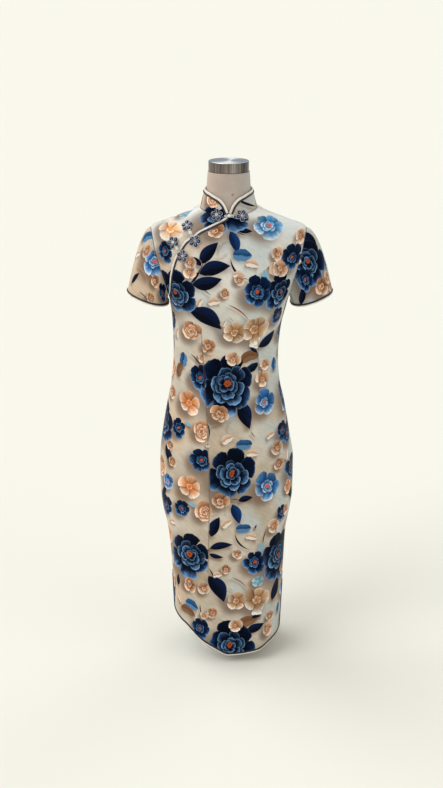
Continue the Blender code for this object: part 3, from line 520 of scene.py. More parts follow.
def underlap_field():
    """Underlap: the right armhole and shoulder piece, and a strip beneath the front.

    It is level with the front where it shows, and dips as it nears the placket.
    """
    station = body_rows(UNDERLAP_LOW)[:, None]
    half_width = ring_value("half_width", station)
    edge = -np.pi + side_turn(station)
    placket = placket_angle(station)
    shown = placket - edge
    dip = np.minimum(DIP_WIDTH / half_width, DIP_SHARE * shown)
    knots = [edge, edge + shown - dip, placket - dip * DIP_KNEE, placket,
             placket + UNDERLAP_REACH / half_width]
    depths = [0.0, 0.0, DIP_KNEE_DEPTH, 1.0, 1.0]
    steps, lift = [knots[0]], [np.zeros_like(station)]
    for first, last, low, high, count in zip(knots, knots[1:], depths, depths[1:],
                                             UNDERLAP_COLUMNS):
        for share in np.arange(1, count + 1) / count:
            steps.append(first + (last - first) * share)
            lift.append(-UNDER_STEP * (low + (high - low) * share) * np.ones_like(station))
    angle, lift = np.concatenate(steps, axis=1), np.concatenate(lift, axis=1)
    low_part = soft_step((UNDERLAP_SINKS - station) / UNDERLAP_SINK_OVER)
    return angle, station * np.ones_like(angle), lift + (-UNDER_STEP - lift) * low_part


# %% The sleeves' surface
SLEEVE_TURNS, SLEEVE_ROWS = 200, 96


def sleeve_points(name):
    """Sleeve as a loft from the armhole to a tilted oval hem, rows of equal turns.

    Each line runs as a quadratic curve: the share (1 - s)^2 of its start, 2s(1 - s) of a
    knee pushed out from the start, and s^2 of its end. The right sleeve's columns run
    the other way, which keeps its outside outward.
    """
    sleeve = SLEEVES[name]
    side = sleeve["side"]
    turn = whole_turn(SLEEVE_TURNS)[None, :]
    share = np.linspace(0.0, 1.0, SLEEVE_ROWS + 1)[:, None]
    sideways = ARMHOLE_SWING * np.cos(turn)
    start_angle = sideways if side > 0 else np.pi - sideways
    start = cloth(start_angle, ARM_MIDDLE + ARM_HALF * np.sin(turn))
    start[..., 0] = np.abs(start[..., 0])
    hem = SLEEVE_HEM
    out = np.sin(turn)
    end = np.stack([sleeve["hem_across"] + hem["half_width"] * out,
                    hem["half_depth"] * np.cos(turn) + hem["middle_y"],
                    hem["height"] + hem["half_width"] * np.tan(hem["tilt"]) * out], axis=-1)
    push = sleeve["cap_push"] * (0.5 + 0.5 * out) ** CAP_PUSH_POWER + CAP_PUSH_LEAST
    swell = SLEEVE_SWELL * np.cos(turn) * np.sqrt(1 - np.abs(out))
    knee = start + np.stack([push, swell, -sleeve["cap_drop"] * push], axis=-1)
    s = share[..., None]
    points = start * (1 - s) ** 2 + knee * 2 * s * (1 - s) + end * s**2
    rise = sleeve_creases(name, turn, share)
    for flute in SLEEVE_FOLDS.values():
        off = wrapped(turn - np.radians(flute["place_deg"])) / np.radians(flute["wide_deg"])
        rise = rise + flute["rise"] * np.exp(-off**2) * soft_step(share / FLUTE_FADE)
    away = unit(points - points.mean(axis=1, keepdims=True))
    points = points + away * rise[..., None]
    points[..., 0] = side * (points[..., 0] + SLEEVE_STAND_OFF)
    return points if side > 0 else points[:, ::-1]


# %% The collar's surface
COLLAR_COLUMNS, COLLAR_ROWS = 240, 28
COLLAR_CROWDING = 1.6     # columns stand closer towards the opening


def collar_edge_rise(across):
    """Height of the collar above its seam, by the distance from the middle front."""
    known_at = column(COLLAR_EDGE, "across")
    return smooth(np.clip(across, known_at[0], known_at[-1]), known_at,
                  column(COLLAR_EDGE, "rise"))


def collar_points(columns, rows):
    """Stand collar: from the seam ring to a smaller, higher ring.

    The front edge is cut away in a curved V, so each column climbs only as far as the
    edge's height there.
    """
    share = np.linspace(-1.0, 1.0, columns + 1)
    spread = np.sign(share) * (1 - (1 - np.abs(share)) ** COLLAR_CROWDING)
    angle = (np.pi / 2 + spread * (np.pi - COLLAR_OPEN))[None, :]
    seam = body(angle, np.full_like(angle, NECKLINE))
    cosine, sine = np.cos(angle), np.sin(angle)
    ahead = sine < 0
    top_y = np.where(ahead, COLLAR_TOP["front_y"], COLLAR_TOP["back_y"])
    top_z = np.where(ahead, COLLAR_TOP["front_z"], COLLAR_TOP["back_z"])
    top = np.stack([COLLAR_TOP["half_width"] * cosine, top_y * np.abs(sine),
                    COLLAR_TOP["side_z"] + (top_z - COLLAR_TOP["side_z"]) * sine**2], axis=-1)
    full = np.linalg.norm(top - seam, axis=-1)
    rise = np.where(ahead, collar_edge_rise(np.abs(seam[..., 0])), full)
    reach = np.minimum(rise / full, 1.0)
    climb = np.linspace(0.0, 1.0, rows + 1)[:, None]
    lowest = COLLAR_STAND_OFF / full
    share_up = lowest + (reach - lowest) * climb
    return seam + (top - seam) * share_up[..., None]


# %% [markdown]
# ## Thin walls with a fine face
# A cloth wall needs many points on the face that carries the print and few on the inside.
# Solidify would double them all, so the wall is put together from arrays: the outer grid,
# an inner grid of every fourth point moved in by the cloth's thickness, and a rim that
# ties the two together. Round pieces are stacks of rounds, closed at both ends by fans.

# %% Wall from a grid
INNER_STEP = 4


def grid_normals(points, closed=False):
    """Outward normal at each grid point: across x up, from the neighbours."""
    if closed:
        points = np.concatenate([points[:, -1:], points, points[:, :1]], axis=1)
    normal = np.cross(np.gradient(points, axis=1), np.gradient(points, axis=0))
    return unit(normal[:, 1:-1] if closed else normal)


def rim_faces(dense, coarse):
    """Triangles from a closed loop of outer points to a loop of every fourth inner one."""
    count, step = len(dense), len(dense) // len(coarse)
    edge = np.arange(count)
    near = ((edge + step // 2) // step) % len(coarse)
    fans = np.stack([dense[(edge + 1) % count], dense[edge], coarse[near]], axis=1)
    turn = np.flatnonzero(near != np.roll(near, 1))
    ties = np.stack([dense[turn], coarse[near[turn] - 1], coarse[near[turn]]], axis=1)
    return np.concatenate([fans, ties])


def border(rows, columns, index):
    """Indices round a grid's edge, anticlockwise from its first corner."""
    up, along = np.arange(rows), np.arange(columns)
    return np.concatenate([index(0 * along, along), index(up, 0 * up + columns),
                           index(0 * along + rows, columns - along),
                           index(rows - up, 0 * up)])


def quads_of(rows, columns, index):
    """Grid quads, anticlockwise seen from outside, as an array of four indices each."""
    row, place = np.meshgrid(np.arange(rows), np.arange(columns), indexing="ij")
    row, place = row.ravel(), place.ravel()
    return np.stack([index(row, place), index(row, place + 1),
                     index(row + 1, place + 1), index(row + 1, place)], axis=1)


def end_fans(rows, around, index):
    """Triangles that close the first and last round of a stack about two added points."""
    place, tip = np.arange(around), rows * around
    first = [index(0, place + 1), index(0, place), 0 * place + tip]
    last = [index(rows - 1, place), index(rows - 1, place + 1), 0 * place + tip + 1]
    return np.concatenate([np.stack(first, axis=1), np.stack(last, axis=1)])


def closed_ring(grid):
    """A stack of rounds whose last round joins its first."""
    rows, around = grid.shape[:2]
    index = lambda row, place: (row % rows) * around + place % around
    return grid.reshape(-1, 3), quads_of(rows, around, index), np.zeros((0, 3), dtype=int)


def closed_stack(grid, tips=None):
    """A stack of rounds closed at both ends by fans about its tips, or the ends' middles."""
    rows, around = grid.shape[:2]
    index = lambda row, place: row * around + place % around
    tips = grid[[0, -1]].mean(axis=1) if tips is None else tips
    points = np.concatenate([grid.reshape(-1, 3), tips])
    return points, quads_of(rows - 1, around, index), end_fans(rows, around, index)


def spun(profile, turns):
    """Closed solid of (radius, height) points spun about the upright axis."""
    turn = whole_turn(turns)
    grid = np.stack([profile[:, :1] * np.cos(turn), profile[:, :1] * np.sin(turn),
                     profile[:, 1:] + 0 * turn], axis=-1)
    return closed_stack(grid, [[0, 0, profile[0, 1]], [0, 0, profile[-1, 1]]])


def mesh_from(name, points, quads, triangles=()):
    """Mesh of quads, then triangles, with smooth faces."""
    mesh = bpy.data.meshes.new(name)
    faces = quads.tolist() + np.asarray(triangles, dtype=int).reshape(-1, 3).tolist()
    mesh.from_pydata(points.reshape(-1, 3).tolist(), [], faces)
    mesh.shade_smooth()
    return mesh


def wall_mesh(name, outer, closed=False):
    """Cloth wall from its outer grid; returns the mesh and each corner's grid place.

    The grid place of a corner counts through rows of (columns + 1), so that a closed
    round has two places at its join.
    """
    rows = outer.shape[0] - 1
    columns = outer.shape[1] if closed else outer.shape[1] - 1
    wide = columns if closed else columns + 1
    step = INNER_STEP
    inner = (outer - grid_normals(outer, closed) * CLOTH)[::step, ::step]
    wide_in, base = inner.shape[1], outer.shape[0] * outer.shape[1]
    points = np.concatenate([outer.reshape(-1, 3), inner.reshape(-1, 3)]) + FIGURE_AT
    out_at = lambda row, place: row * wide + (place % columns if closed else place)
    in_columns = columns // step
    in_at = lambda row, place: base + row * wide_in + (place % in_columns if closed else place)
    spot = lambda row, place: row * (columns + 1) + place
    in_spot = lambda row, place: spot(row * step, place * step)
    quads = np.concatenate([quads_of(rows, columns, out_at),
                            quads_of(rows // step, in_columns, in_at)[:, ::-1]])
    places = np.concatenate([quads_of(rows, columns, spot),
                             quads_of(rows // step, in_columns, in_spot)[:, ::-1]])
    if closed:
        along, few = np.arange(columns), np.arange(in_columns)
        triangles = np.concatenate([
            rim_faces(out_at(0, along), in_at(0, few)),
            rim_faces(out_at(rows, along)[::-1], in_at(rows // step, few)[::-1])])
    else:
        triangles = rim_faces(border(rows, columns, out_at),
                              border(rows // step, in_columns, in_at))
    mesh = mesh_from(name, points, quads, triangles)
    mesh.polygons.foreach_set("use_smooth", np.arange(len(mesh.polygons)) < len(quads))
    place_of = np.concatenate([spot(*np.divmod(np.arange(base), wide)),
                               in_spot(*np.divmod(np.arange(len(points) - base), wide_in))])
    corner_place = np.concatenate([places.ravel(), place_of[triangles.ravel()]])
    return mesh, corner_place, rows * columns


# %% [markdown]
# ## The printed satin
# The print is a garden: large dark blue camellias, smaller navy, sky-blue, peach, rose and
# amber blossoms, navy leaves on thin stems, and a soft brown shadow below each, on greige.
# A picture file would tie the cloth to one size, so each motif is a row in a table: where
# its middle lies on the flat cloth, how large it is and how it is turned. The corners of
# each face get their place inside the motif that covers it, and the shader draws petals
# and leaves from that place with formulas, sharp at any distance.

# %% Palette
def linear(red, green, blue):
    """Screen colour, 0 to 255, as linear light with full alpha."""
    share = np.array([red, green, blue]) / 255.0
    light = np.where(share <= 0.04045, share / 12.92, ((share + 0.055) / 1.055) ** 2.4)
    return (*light.tolist(), 1.0)


BLOSSOMS = table(
    "petals fullness softness dark mid rim heart",
    camellia=(6, 1.00, 0.00, (2, 7, 20), (8, 46, 104), (140, 192, 240), (170, 82, 40)),
    indigo=(6, 0.75, 0.10, (4, 15, 38), (14, 64, 122), (132, 186, 236), (204, 90, 44)),
    sky=(5, 0.72, 0.40, (14, 70, 128), (98, 160, 214), (242, 248, 252), (220, 112, 72)),
    azure=(5, 0.72, 0.55, (30, 102, 156), (124, 184, 222), (246, 251, 253), (220, 112, 72)),
    haze=(5, 0.30, 0.60, (124, 172, 192), (156, 194, 206), (206, 222, 226), (176, 196, 200)),
    pearl=(5, 0.42, 0.90, (226, 162, 106), (252, 224, 194), (255, 252, 246), (238, 148, 44)),
    peach=(5, 0.42, 0.80, (192, 108, 50), (243, 188, 142), (253, 247, 241), (224, 112, 30)),
    rose=(4, 1.00, 0.60, (158, 94, 54), (236, 182, 140), (250, 234, 216), (196, 104, 54)),
    amber=(5, 0.50, 0.70, (150, 104, 64), (216, 182, 146), (253, 248, 242), (190, 120, 50)),
    umber=(4, 0.66, 0.50, (134, 82, 48), (230, 178, 136), (253, 242, 228), (176, 100, 52)),
    blush=(3, 0.45, 0.70, (158, 106, 72), (234, 200, 170), (253, 245, 235), (196, 122, 70)))
LEAVES = table(
    "width dark mid rim",
    night=(0.46, (6, 10, 24), (14, 32, 70), (168, 158, 144)),
    slim=(0.34, (6, 11, 28), (16, 36, 78), (176, 168, 154)),
    royal=(0.44, (12, 32, 70), (24, 66, 122), (150, 176, 194)),
    sea=(0.50, (112, 160, 184), (138, 180, 198), (190, 212, 220)),
    bud=(0.66, (10, 34, 68), (48, 100, 152), (98, 148, 192)),
    husk=(0.52, (98, 66, 44), (128, 90, 62), (156, 118, 88)),
    chip=(0.62, (160, 116, 84), (228, 200, 174), (252, 244, 234)),
    pale=(0.56, (206, 186, 168), (240, 230, 220), (254, 250, 246)),
    stem=(0.090, (16, 18, 30), (28, 28, 42), (206, 184, 160)),
    rust=(0.060, (118, 60, 34), (142, 76, 46), (206, 150, 112)),
    thread=(0.032, (190, 142, 102), (208, 164, 124), (232, 206, 180)))
print("palette:", len(BLOSSOMS), "blossoms,", len(LEAVES), "leaves and stems")

# %% [markdown]
# The tables below are the printer's sheet for the front, in millimetres: how far across
# from the middle line and up from the hem's level a motif lies, its radius or half-length,
# and its turn in degrees. Leaves and stems also bend. The kinds are the palette's.

# %% Where the motifs lie on the front
LARGE_ON_FRONT = {
    "camellia": [(-10, 1208, 74, 15), (-135, 994, 65, 320), (3, 762, 75, 60),
        (129, 996, 44, 110), (12, 535, 68, 130), (-105, 303, 70, 250), (152, 286, 63, 290),
        (5, 52, 64, 40), (208, 720, 52, 25), (-212, 640, 54, 70), (-208, 160, 46, 130),
        (206, 520, 44, 160)],
    "azure": [(101, 1178, 46, 200)],
    "amber": [(67, 901, 39, 190), (18, 896, 31, 20), (74, 181, 38, 340), (23, 179, 29, 95)],
    "sky": [(104, 493, 40, 120), (-177, 490, 24, 300), (200, 180, 34, 50),
        (-205, 880, 34, 200)],
    "peach": [(-200, 330, 30, 48)],
}
SMALL_ON_FRONT = {
    "indigo": [(-157, 1091, 25, 30), (156, 1079, 34, 240), (67, 1002, 37, 35),
        (135, 929, 25, 15), (-71, 774, 29, 270), (-139, 640, 26, 180), (161, 625, 26, 330),
        (-75, 568, 34, 85), (-128, 430, 26, 150), (155, 408, 22, 50), (70, 290, 31, 205),
        (-72, 99, 27, 290), (186, 610, 26, 58), (-186, 420, 28, 36), (176, 880, 28, 310),
        (-172, 905, 28, 15), (206, 94, 30, 80)],
    "pearl": [(-149, 1150, 38, 75)],
    "haze": [(-140, 1225, 26, 30), (77, 234, 17, 10)],
    "umber": [(-30, 1148, 20, 10), (-44, 856, 20, 200), (-14, 686, 20, 140), (-9, 997, 13, 30),
        (-17, 688, 23, 90), (-161, 548, 14, 260), (140, 545, 16, 100), (-16, 460, 23, 330),
        (-5, 270, 13, 40), (-105, 215, 21, 280), (-39, 147, 16, 60), (-169, 588, 14, 0),
        (-168, 720, 18, 20), (186, 830, 20, 60), (178, 236, 20, 70)],
    "blush": [(125, 1056, 23, 100), (-63, 824, 13, 50), (24, 1029, 13, 250),
        (18, 822, 21, 310), (111, 802, 15, 20), (99, 767, 24, 160), (-91, 1071, 15, 200),
        (-92, 1048, 16, 90), (117, 1091, 16, 140), (187, 1122, 19, 20), (136, 588, 20, 70),
        (128, 375, 20, 190), (25, 313, 15, 110), (-62, 216, 20, 330), (-61, 138, 12, 170),
        (20, 108, 19, 20), (118, 121, 16, 250), (110, 85, 20, 120), (-170, 200, 18, 200),
        (168, 410, 18, 20), (-206, 740, 20, 110)],
    "rose": [(-90, 894, 31, 0), (-73, 643, 26, 50), (-66, 430, 27, 220), (-176, 780, 26, 62),
        (205, 360, 28, 8), (-214, 520, 26, 140)],
    "peach": [(-106, 709, 32, 330), (-107, 493, 34, 15), (179, 473, 19, 60),
        (200, 890, 30, 10), (-205, 60, 30, 200)],
    "sky": [(99, 709, 34, 90)],
}
# Leaves, buds, loose petals and stems: across, up, half-length, turn, bend
LEAVES_ON_FRONT = {
    "night": [(-46, 1093, 33, 50, 0.1), (-74, 1074, 14, 130, 0), (-33, 1054, 38, 12, 0.12),
        (-51, 1026, 36, 9, -0.1), (39, 1150, 18, 10, 0.1), (-55, 931, 48, -33, 0.22),
        (114, 869, 30, 40, -0.1), (66, 800, 21, 30, 0), (44, 688, 34, -60, 0.14),
        (44, 676, 32, -62, 0.12), (47, 465, 19, 12, 0.1), (-29, 390, 30, 68, 0.1),
        (-29, 215, 43, -62, 0.18), (136, 196, 34, 70, -0.12), (73, 98, 27, 22, 0.12),
        (-146, 216, 17, 86, 0), (186, 940, 30, 70, 0.12), (192, 450, 30, -50, 0.1),
        (-176, 560, 28, -62, 0.1), (-214, 260, 32, 50, 0.12), (212, 630, 30, 120, 0.1)],
    "royal": [(13, 1117, 28, -72, 0.08), (23, 425, 29, -72, 0.08)],
    "bud": [(32, 1088, 22, -2, 0), (-119, 812, 19, 80, 0), (144, 797, 16, 80, 0),
        (45, 610, 20, 2, 0), (42, 385, 19, 4, 0), (-99, 157, 21, -12, 0.1),
        (157, 130, 14, 80, 0)],
    "sea": [(86, 1039, 17, 100, 0), (87, 328, 15, 80, 0), (-98, 445, 11, -24, 0),
        (-109, 656, 10, -24, 0)],
    "husk": [(-129, 785, 22, 62, 0.2), (60, 822, 27, 12, 0.3), (107, 782, 16, 70, 0.2),
        (-112, 135, 25, -18, 0.2), (52, 114, 30, 30, 0.2)],
    "chip": [(55, 1066, 16, -12, 0.2), (-34, 977, 15, 6, 0.2), (-68, 975, 11, 60, 0.2),
        (-10, 921, 9, 70, 0.1), (30, 906, 14, 10, 0.3), (108, 1057, 16, 96, 0.2),
        (-140, 876, 13, 80, 0.2), (24, 1038, 14, -10, 0.3), (167, 1101, 14, 80, 0.1),
        (116, 623, 13, 20, 0.2), (4, 623, 16, 30, 0.2), (-51, 608, 13, 0, 0.2),
        (65, 583, 15, -8, 0.2), (0, 398, 15, 38, 0.2), (62, 358, 15, -16, 0.2),
        (-26, 254, 12, 10, 0.2), (-17, 691, 11, 10, 0.2), (-141, 160, 10, -60, 0.2),
        (180, 680, 14, 30, 0.2), (-180, 260, 14, 80, 0.2), (-160, 380, 13, 10, 0.2),
        (172, 560, 14, 70, 0.2)],
    "pale": [(59, 896, 15, -20, 0.3), (13, 896, 14, 6, 0.3), (68, 854, 14, -28, 0.2),
        (62, 187, 16, 10, 0.3), (76, 141, 15, -6, 0.3), (19, 179, 10, 6, 0.2)],
    "slim": [(68, 842, 14, -40, 0.1), (-161, 1024, 14, 110, 0), (-15, 335, 30, 10, 0.12),
        (-28, 310, 19, -16, -0.12), (73, 131, 15, 6, 0.2), (73, 388, 6, 70, 0),
        (-168, 840, 30, 80, 0.1), (-196, 450, 30, 62, 0.12), (200, 290, 32, 100, 0)],
}
STEMS_ON_FRONT = {
    "stem": [(15, 1141, 14, -25, -0.15), (27, 1056, 35, -48, -0.36), (98, 1063, 15, 40, 0),
        (-81, 814, 23, -48, 0.22), (53, 802, 20, 38, 0), (-31, 711, 21, 48, 0.3),
        (-51, 1001, 13, -40, 0), (68, 633, 12, -56, -0.1), (-46, 643, 24, -86, 0.22),
        (-47, 328, 10, 20, 0), (-67, 150, 20, -76, -0.15), (99, 355, 21, 74, 0.1),
        (41, 348, 32, -50, -0.34), (16, 463, 10, -20, 0.2), (62, 89, 13, 30, 0),
        (-36, 714, 17, 46, 0.2), (-83, 1038, 43, 56, -0.12), (-72, 1046, 18, 14, 0.05),
        (-87, 1019, 21, 24, 0.1), (-51, 1077, 14, 60, 0), (-79, 958, 23, 6, -0.1),
        (27, 1144, 18, -20, -0.15), (3, 1140, 11, -78, 0), (-50, 325, 15, 20, 0),
        (-41, 254, 24, -70, 0.15), (23, 463, 13, -16, 0.2)],
    "rust": [(23, 950, 34, -38, 0.18), (7, 933, 11, -40, 0), (29, 231, 27, -38, 0.18),
        (9, 213, 9, -30, 0)],
    "thread": [(-12, 1107, 21, 60, 0.34), (-16, 1092, 16, 18, -0.4), (73, 859, 14, -50, 0.2),
        (11, 661, 17, 76, 0.3), (4, 630, 13, 36, -0.4), (4, 443, 17, 76, 0.3),
        (0, 405, 13, 40, -0.4), (-27, 656, 13, 20, 0.3), (-26, 425, 11, 10, 0.3)],
}


def motifs(sheet):
    """The rows of a sheet in metres, each led by its kind."""
    return [(kind, *(0.001 * length for length in row[:3]), *row[3:])
            for kind, rows in sheet.items() for row in rows]


PRINT_ON_FRONT = [motifs(sheet) for sheet in (LARGE_ON_FRONT, SMALL_ON_FRONT,
                                              LEAVES_ON_FRONT, STEMS_ON_FRONT)]
print("front print, large and small blossoms, leaves, stems:", *map(len, PRINT_ON_FRONT))

# %% [markdown]
# Each motif claims the faces near it; where two overlap, a face goes to the one that it is
# deeper inside, in that motif's own size. Its four corners then carry their place inside
# the motif, and the motif's kind with a fraction that varies it. Shadows are soft, so a
# number at each corner is enough.

# %% Painting the motifs onto a wall
FAR = 9.0                 # a place outside every motif
CLAIM_REACH = 1.68        # how far out a motif still claims a face, in its own size
BLOSSOM_CLAIM = 1.2       # a blossom counts as farther off than a leaf by this factor
LOOK_ROUND, LOOK_ROUND_M = 1.5, 0.004     # how far round a motif faces are looked at
EDGE_SLACK = 0.003        # and how far past a leaf's outline, in metres
STEM_WIDTH = 0.1          # a narrower leaf is a stem
BLOSSOM_DROP, BLOSSOM_DROP_M = np.array([-0.34, -0.30]), np.array([-0.002, -0.003])
BLOSSOM_SHADE, LEAF_SHADE, STEM_SHADE = 0.94, 0.85, 0.45
LEAF_DROP_M = np.array([-0.0034, -0.0070])


def motif_place(spots, motif):
    """Place inside a motif: moved to its middle and scaled by its size.

    A leaf is also turned back, and its middle line bows: its height is lowered by
    bend (1 - x^2). A blossom stays upright, so that its light comes from above.
    """
    _, across, up, size, turn, *bow = motif
    bend, turn = (bow[0], np.radians(turn)) if bow else (0.0, 0.0)
    over, above = spots[..., 0] - across, spots[..., 1] - up
    x = (over * np.cos(turn) + above * np.sin(turn)) / size
    y = (above * np.cos(turn) - over * np.sin(turn)) / size
    return x, y - bend * (1 - np.clip(x, -1.3, 1.3) ** 2)


def leaf_half(x, width):
    """Half-width of a leaf at each place along it: pointed, or rounder when broad."""
    power = 0.92 - 0.42 * (width > 0.5)
    return width * np.maximum(1 - x * x, 0.0) ** power * (1 - 0.26 * x)


def claim(corner_spots, motifs, palette):
    """Corner places for the motifs: x, y and kind, far away where none claims the face."""
    names = list(palette)
    middle = corner_spots.mean(axis=1)
    best = np.full(len(middle), CLAIM_REACH)
    places = np.full(corner_spots.shape[:2] + (3,), FAR)
    for motif in motifs:
        away = np.hypot(middle[:, 0] - motif[1], middle[:, 1] - motif[2])
        found = np.flatnonzero(away < LOOK_ROUND * motif[3] + LOOK_ROUND_M)
        if not len(found):
            continue
        x, y = motif_place(middle[found], motif)
        reach = BLOSSOM_CLAIM * np.hypot(x, y)
        if len(motif) == 6:
            slack = EDGE_SLACK / motif[3]
            half = leaf_half(x, palette[motif[0]]["width"]) + slack
            reach = np.maximum(np.abs(x) / (1 + slack), np.abs(y) / half)
        won = reach < best[found]
        found, reach = found[won], reach[won]
        best[found] = reach
        x, y = motif_place(corner_spots[found], motif)
        kind = names.index(motif[0]) + 0.04 + 0.92 * (motif[4] % 360) / 360
        places[found] = np.stack([x, y, np.full_like(x, kind)], axis=-1)
    return places


def shade_under(spots, blossoms, leaves):
    """Soft shadow below and beside the motifs, 0 to 1: 1 - product of (1 - each bell)."""
    clear = np.ones(len(spots))
    for motif in blossoms:
        x, y = motif_place(spots - BLOSSOM_DROP * motif[3] - BLOSSOM_DROP_M, motif)
        clear = clear * (1 - BLOSSOM_SHADE * np.exp(-(np.hypot(x, y) / 1.06) ** 5))
    for motif in leaves:
        x, y = motif_place(spots - LEAF_DROP_M, motif)
        width = LEAVES[motif[0]]["width"]
        wide = 0.6 * width + EDGE_SLACK / motif[3]
        depth = LEAF_SHADE if width > STEM_WIDTH else STEM_SHADE
        clear = clear * (1 - depth * np.exp(-(y / wide) ** 2 - (x / 1.02) ** 8))
    return 1 - clear


def put(mesh, name, kind, values):
    """Stores a value for each face corner on the mesh."""
    field = "vector" if kind == "FLOAT_VECTOR" else "value"
    made = mesh.attributes.new(name, kind, "CORNER")
    made.data.foreach_set(field, np.ascontiguousarray(values, dtype=np.float32).ravel())


def paint(mesh, corner_place, outer_quads, spots, seam, print_rows):
    """Puts the flat cloth's places, motifs, shadow and seam on a wall's corners.

    spots is the flat place of each grid place; seam is the signed distance from the
    nearest dart; print_rows are the large and small blossoms, the leaves and the stems.
    """
    flat = spots.reshape(-1, 2)[corner_place]
    layer = mesh.uv_layers.new(name="flat_cloth")
    layer.data.foreach_set("uv", flat.astype(np.float32).ravel())
    large, small, leaves, stems = print_rows
    face = slice(0, 4 * outer_quads)
    layers = {"large_place": (large, BLOSSOMS), "small_place": (small, BLOSSOMS),
              "leaf_place": (leaves, LEAVES), "stem_place": (stems, LEAVES)}
    for name, (rows, palette) in layers.items():
        places = np.full((len(corner_place), 3), FAR)
        places[face] = claim(flat[face].reshape(-1, 4, 2), rows, palette).reshape(-1, 3)
        put(mesh, name, "FLOAT_VECTOR", places)
    shade, groove = np.zeros(len(corner_place)), np.ones(len(corner_place))
    shade[face] = shade_under(flat[face], large + small, leaves + stems)
    if seam is not None:
        groove[face] = seam.ravel()[corner_place[face]]
    put(mesh, "shade", "FLOAT", shade)
    put(mesh, "dart", "FLOAT", groove)


# %% [markdown]
# ## Shader helpers
# A node tree is a formula in boxes. With the helpers below it is written as a formula:
# each sign between two values makes one maths box, and a group's inputs and outputs go by
# their names. Groups put out colours, masks and heights only.

# %% Node helpers
def sign(operation, swapped=False):
    """A maths sign between a value and another value or number."""
    if swapped:
        return lambda value, other: value.sums.do(operation, other, value)
    return lambda value, other: value.sums.do(operation, value, other)


class Value:
    """What one node puts out; signs between values write maths nodes."""

    def __init__(self, sums, socket):
        self.sums, self.socket = sums, socket

    __add__, __radd__ = sign("ADD"), sign("ADD", True)
    __sub__, __rsub__ = sign("SUBTRACT"), sign("SUBTRACT", True)
    __mul__, __rmul__ = sign("MULTIPLY"), sign("MULTIPLY", True)
    __truediv__, __rtruediv__ = sign("DIVIDE"), sign("DIVIDE", True)
    __pow__ = sign("POWER")

    def __abs__(self):
        return self.sums.do("ABSOLUTE", self)


def feed(socket, value):
    """Joins a value to a socket, or sets the socket to a number or colour."""
    if isinstance(value, Value):
        value.sums.tree.links.new(value.socket, socket)
    elif value is not None:
        socket.default_value = value


def fill(node, **values):
    """Feeds a node's inputs by name; an underscore stands for a space."""
    for title, value in values.items():
        feed(node.inputs[title.replace("_", " ")], value)


class Sums:
    """Writes nodes into one tree; every value may be a number or another node's."""

    def __init__(self, tree):
        self.tree = tree

    def node(self, kind, *values, **settings):
        """New node with its first inputs fed in order and its settings made."""
        node = self.tree.nodes.new("ShaderNode" + kind)
        for name, setting in settings.items():
            setattr(node, name, setting)
        for socket, value in zip(node.inputs, values):
            feed(socket, value)
        return node

    def value(self, socket):
        return Value(self, socket)

    def do(self, operation, *values):
        """One maths step on one to three numbers."""
        return self.value(self.node("Math", *values, operation=operation).outputs[0])

    def step(self, value, low, high):
        """0 below low, 1 above high, and smooth between."""
        node = self.node("MapRange", value, low, high, 0.0, 1.0,
                         interpolation_type="SMOOTHSTEP")
        return self.value(node.outputs[0])

    def vector(self, x, y, z):
        return self.value(self.node("CombineXYZ", x, y, z).outputs[0])

    def parts(self, vector):
        return [self.value(part) for part in self.node("SeparateXYZ", vector).outputs]

    def place(self, which):
        """Coordinates on the object, or on the flat cloth, in metres."""
        if which == "flat":
            return self.value(self.node("UVMap", uv_map="flat_cloth").outputs[0])
        return self.value(self.node("TexCoord").outputs["Object"])

    def painted(self, name, output="Fac"):
        """What was painted on the mesh under that name."""
        return self.value(self.node("Attribute", attribute_name=name).outputs[output])

    def noise(self, vector, scale, detail=2.0):
        node = self.node("TexNoise")
        fill(node, Vector=vector, Scale=scale, Detail=detail)
        return self.value(node.outputs["Fac"])

    def blend(self, share, a, b, way="MIX"):
        """Mix of two colours by a share."""
        node = self.node("Mix", share, data_type="RGBA", blend_type=way)
        feed(node.inputs[6], a)
        feed(node.inputs[7], b)
        return self.value(node.outputs[2])

    def washed(self, colour, *washes):
        """A colour under washes of others, each a mask, a strength and a screen colour."""
        for mask, strength, wash in washes:
            colour = self.blend(mask * strength, colour, linear(*wash))
        return colour

    def lookup(self, row, palette, name, most=1.0):
        """A palette's column at a kind's row: a ramp with one flat step for each kind.

        Numbers are kept as greys, as shares of the most that they can be.
        """
        cells = [kind[name] for kind in palette.values()]
        node = self.node("ValToRGB", row)
        ramp = node.color_ramp
        ramp.interpolation = "CONSTANT"
        while len(ramp.elements) < len(cells):
            ramp.elements.new(0.999)
        for place, cell in enumerate(cells):
            grey = not isinstance(cell, tuple)
            ramp.elements[place].position = place / len(cells)
            ramp.elements[place].color = (cell / most,) * 3 + (1.0,) if grey else linear(*cell)
        return self.value(node.outputs[0])

    def bump(self, height, strength, distance, under=None):
        node = self.node("Bump")
        fill(node, Height=height, Strength=strength, Distance=distance, Normal=under)
        return self.value(node.outputs[0])

    def use(self, tree, **values):
        """A group's node with its inputs filled by name; returns its outputs by name."""
        node = self.node("Group", node_tree=tree)
        fill(node, **values)
        return {output.name: self.value(output) for output in node.outputs}


def group(name, takes, gives):
    """New shader group with named sockets; returns its tree, sums, inputs and exit."""
    tree = bpy.data.node_groups.new(name, "ShaderNodeTree")
    for way, sockets in (("INPUT", takes), ("OUTPUT", gives)):
        for title, kind in sockets.items():
            tree.interface.new_socket(name=title, in_out=way, socket_type="NodeSocket" + kind)
    s = Sums(tree)
    entry, leave = tree.nodes.new("NodeGroupInput"), tree.nodes.new("NodeGroupOutput")
    return tree, s, {output.name: s.value(output) for output in entry.outputs}, leave


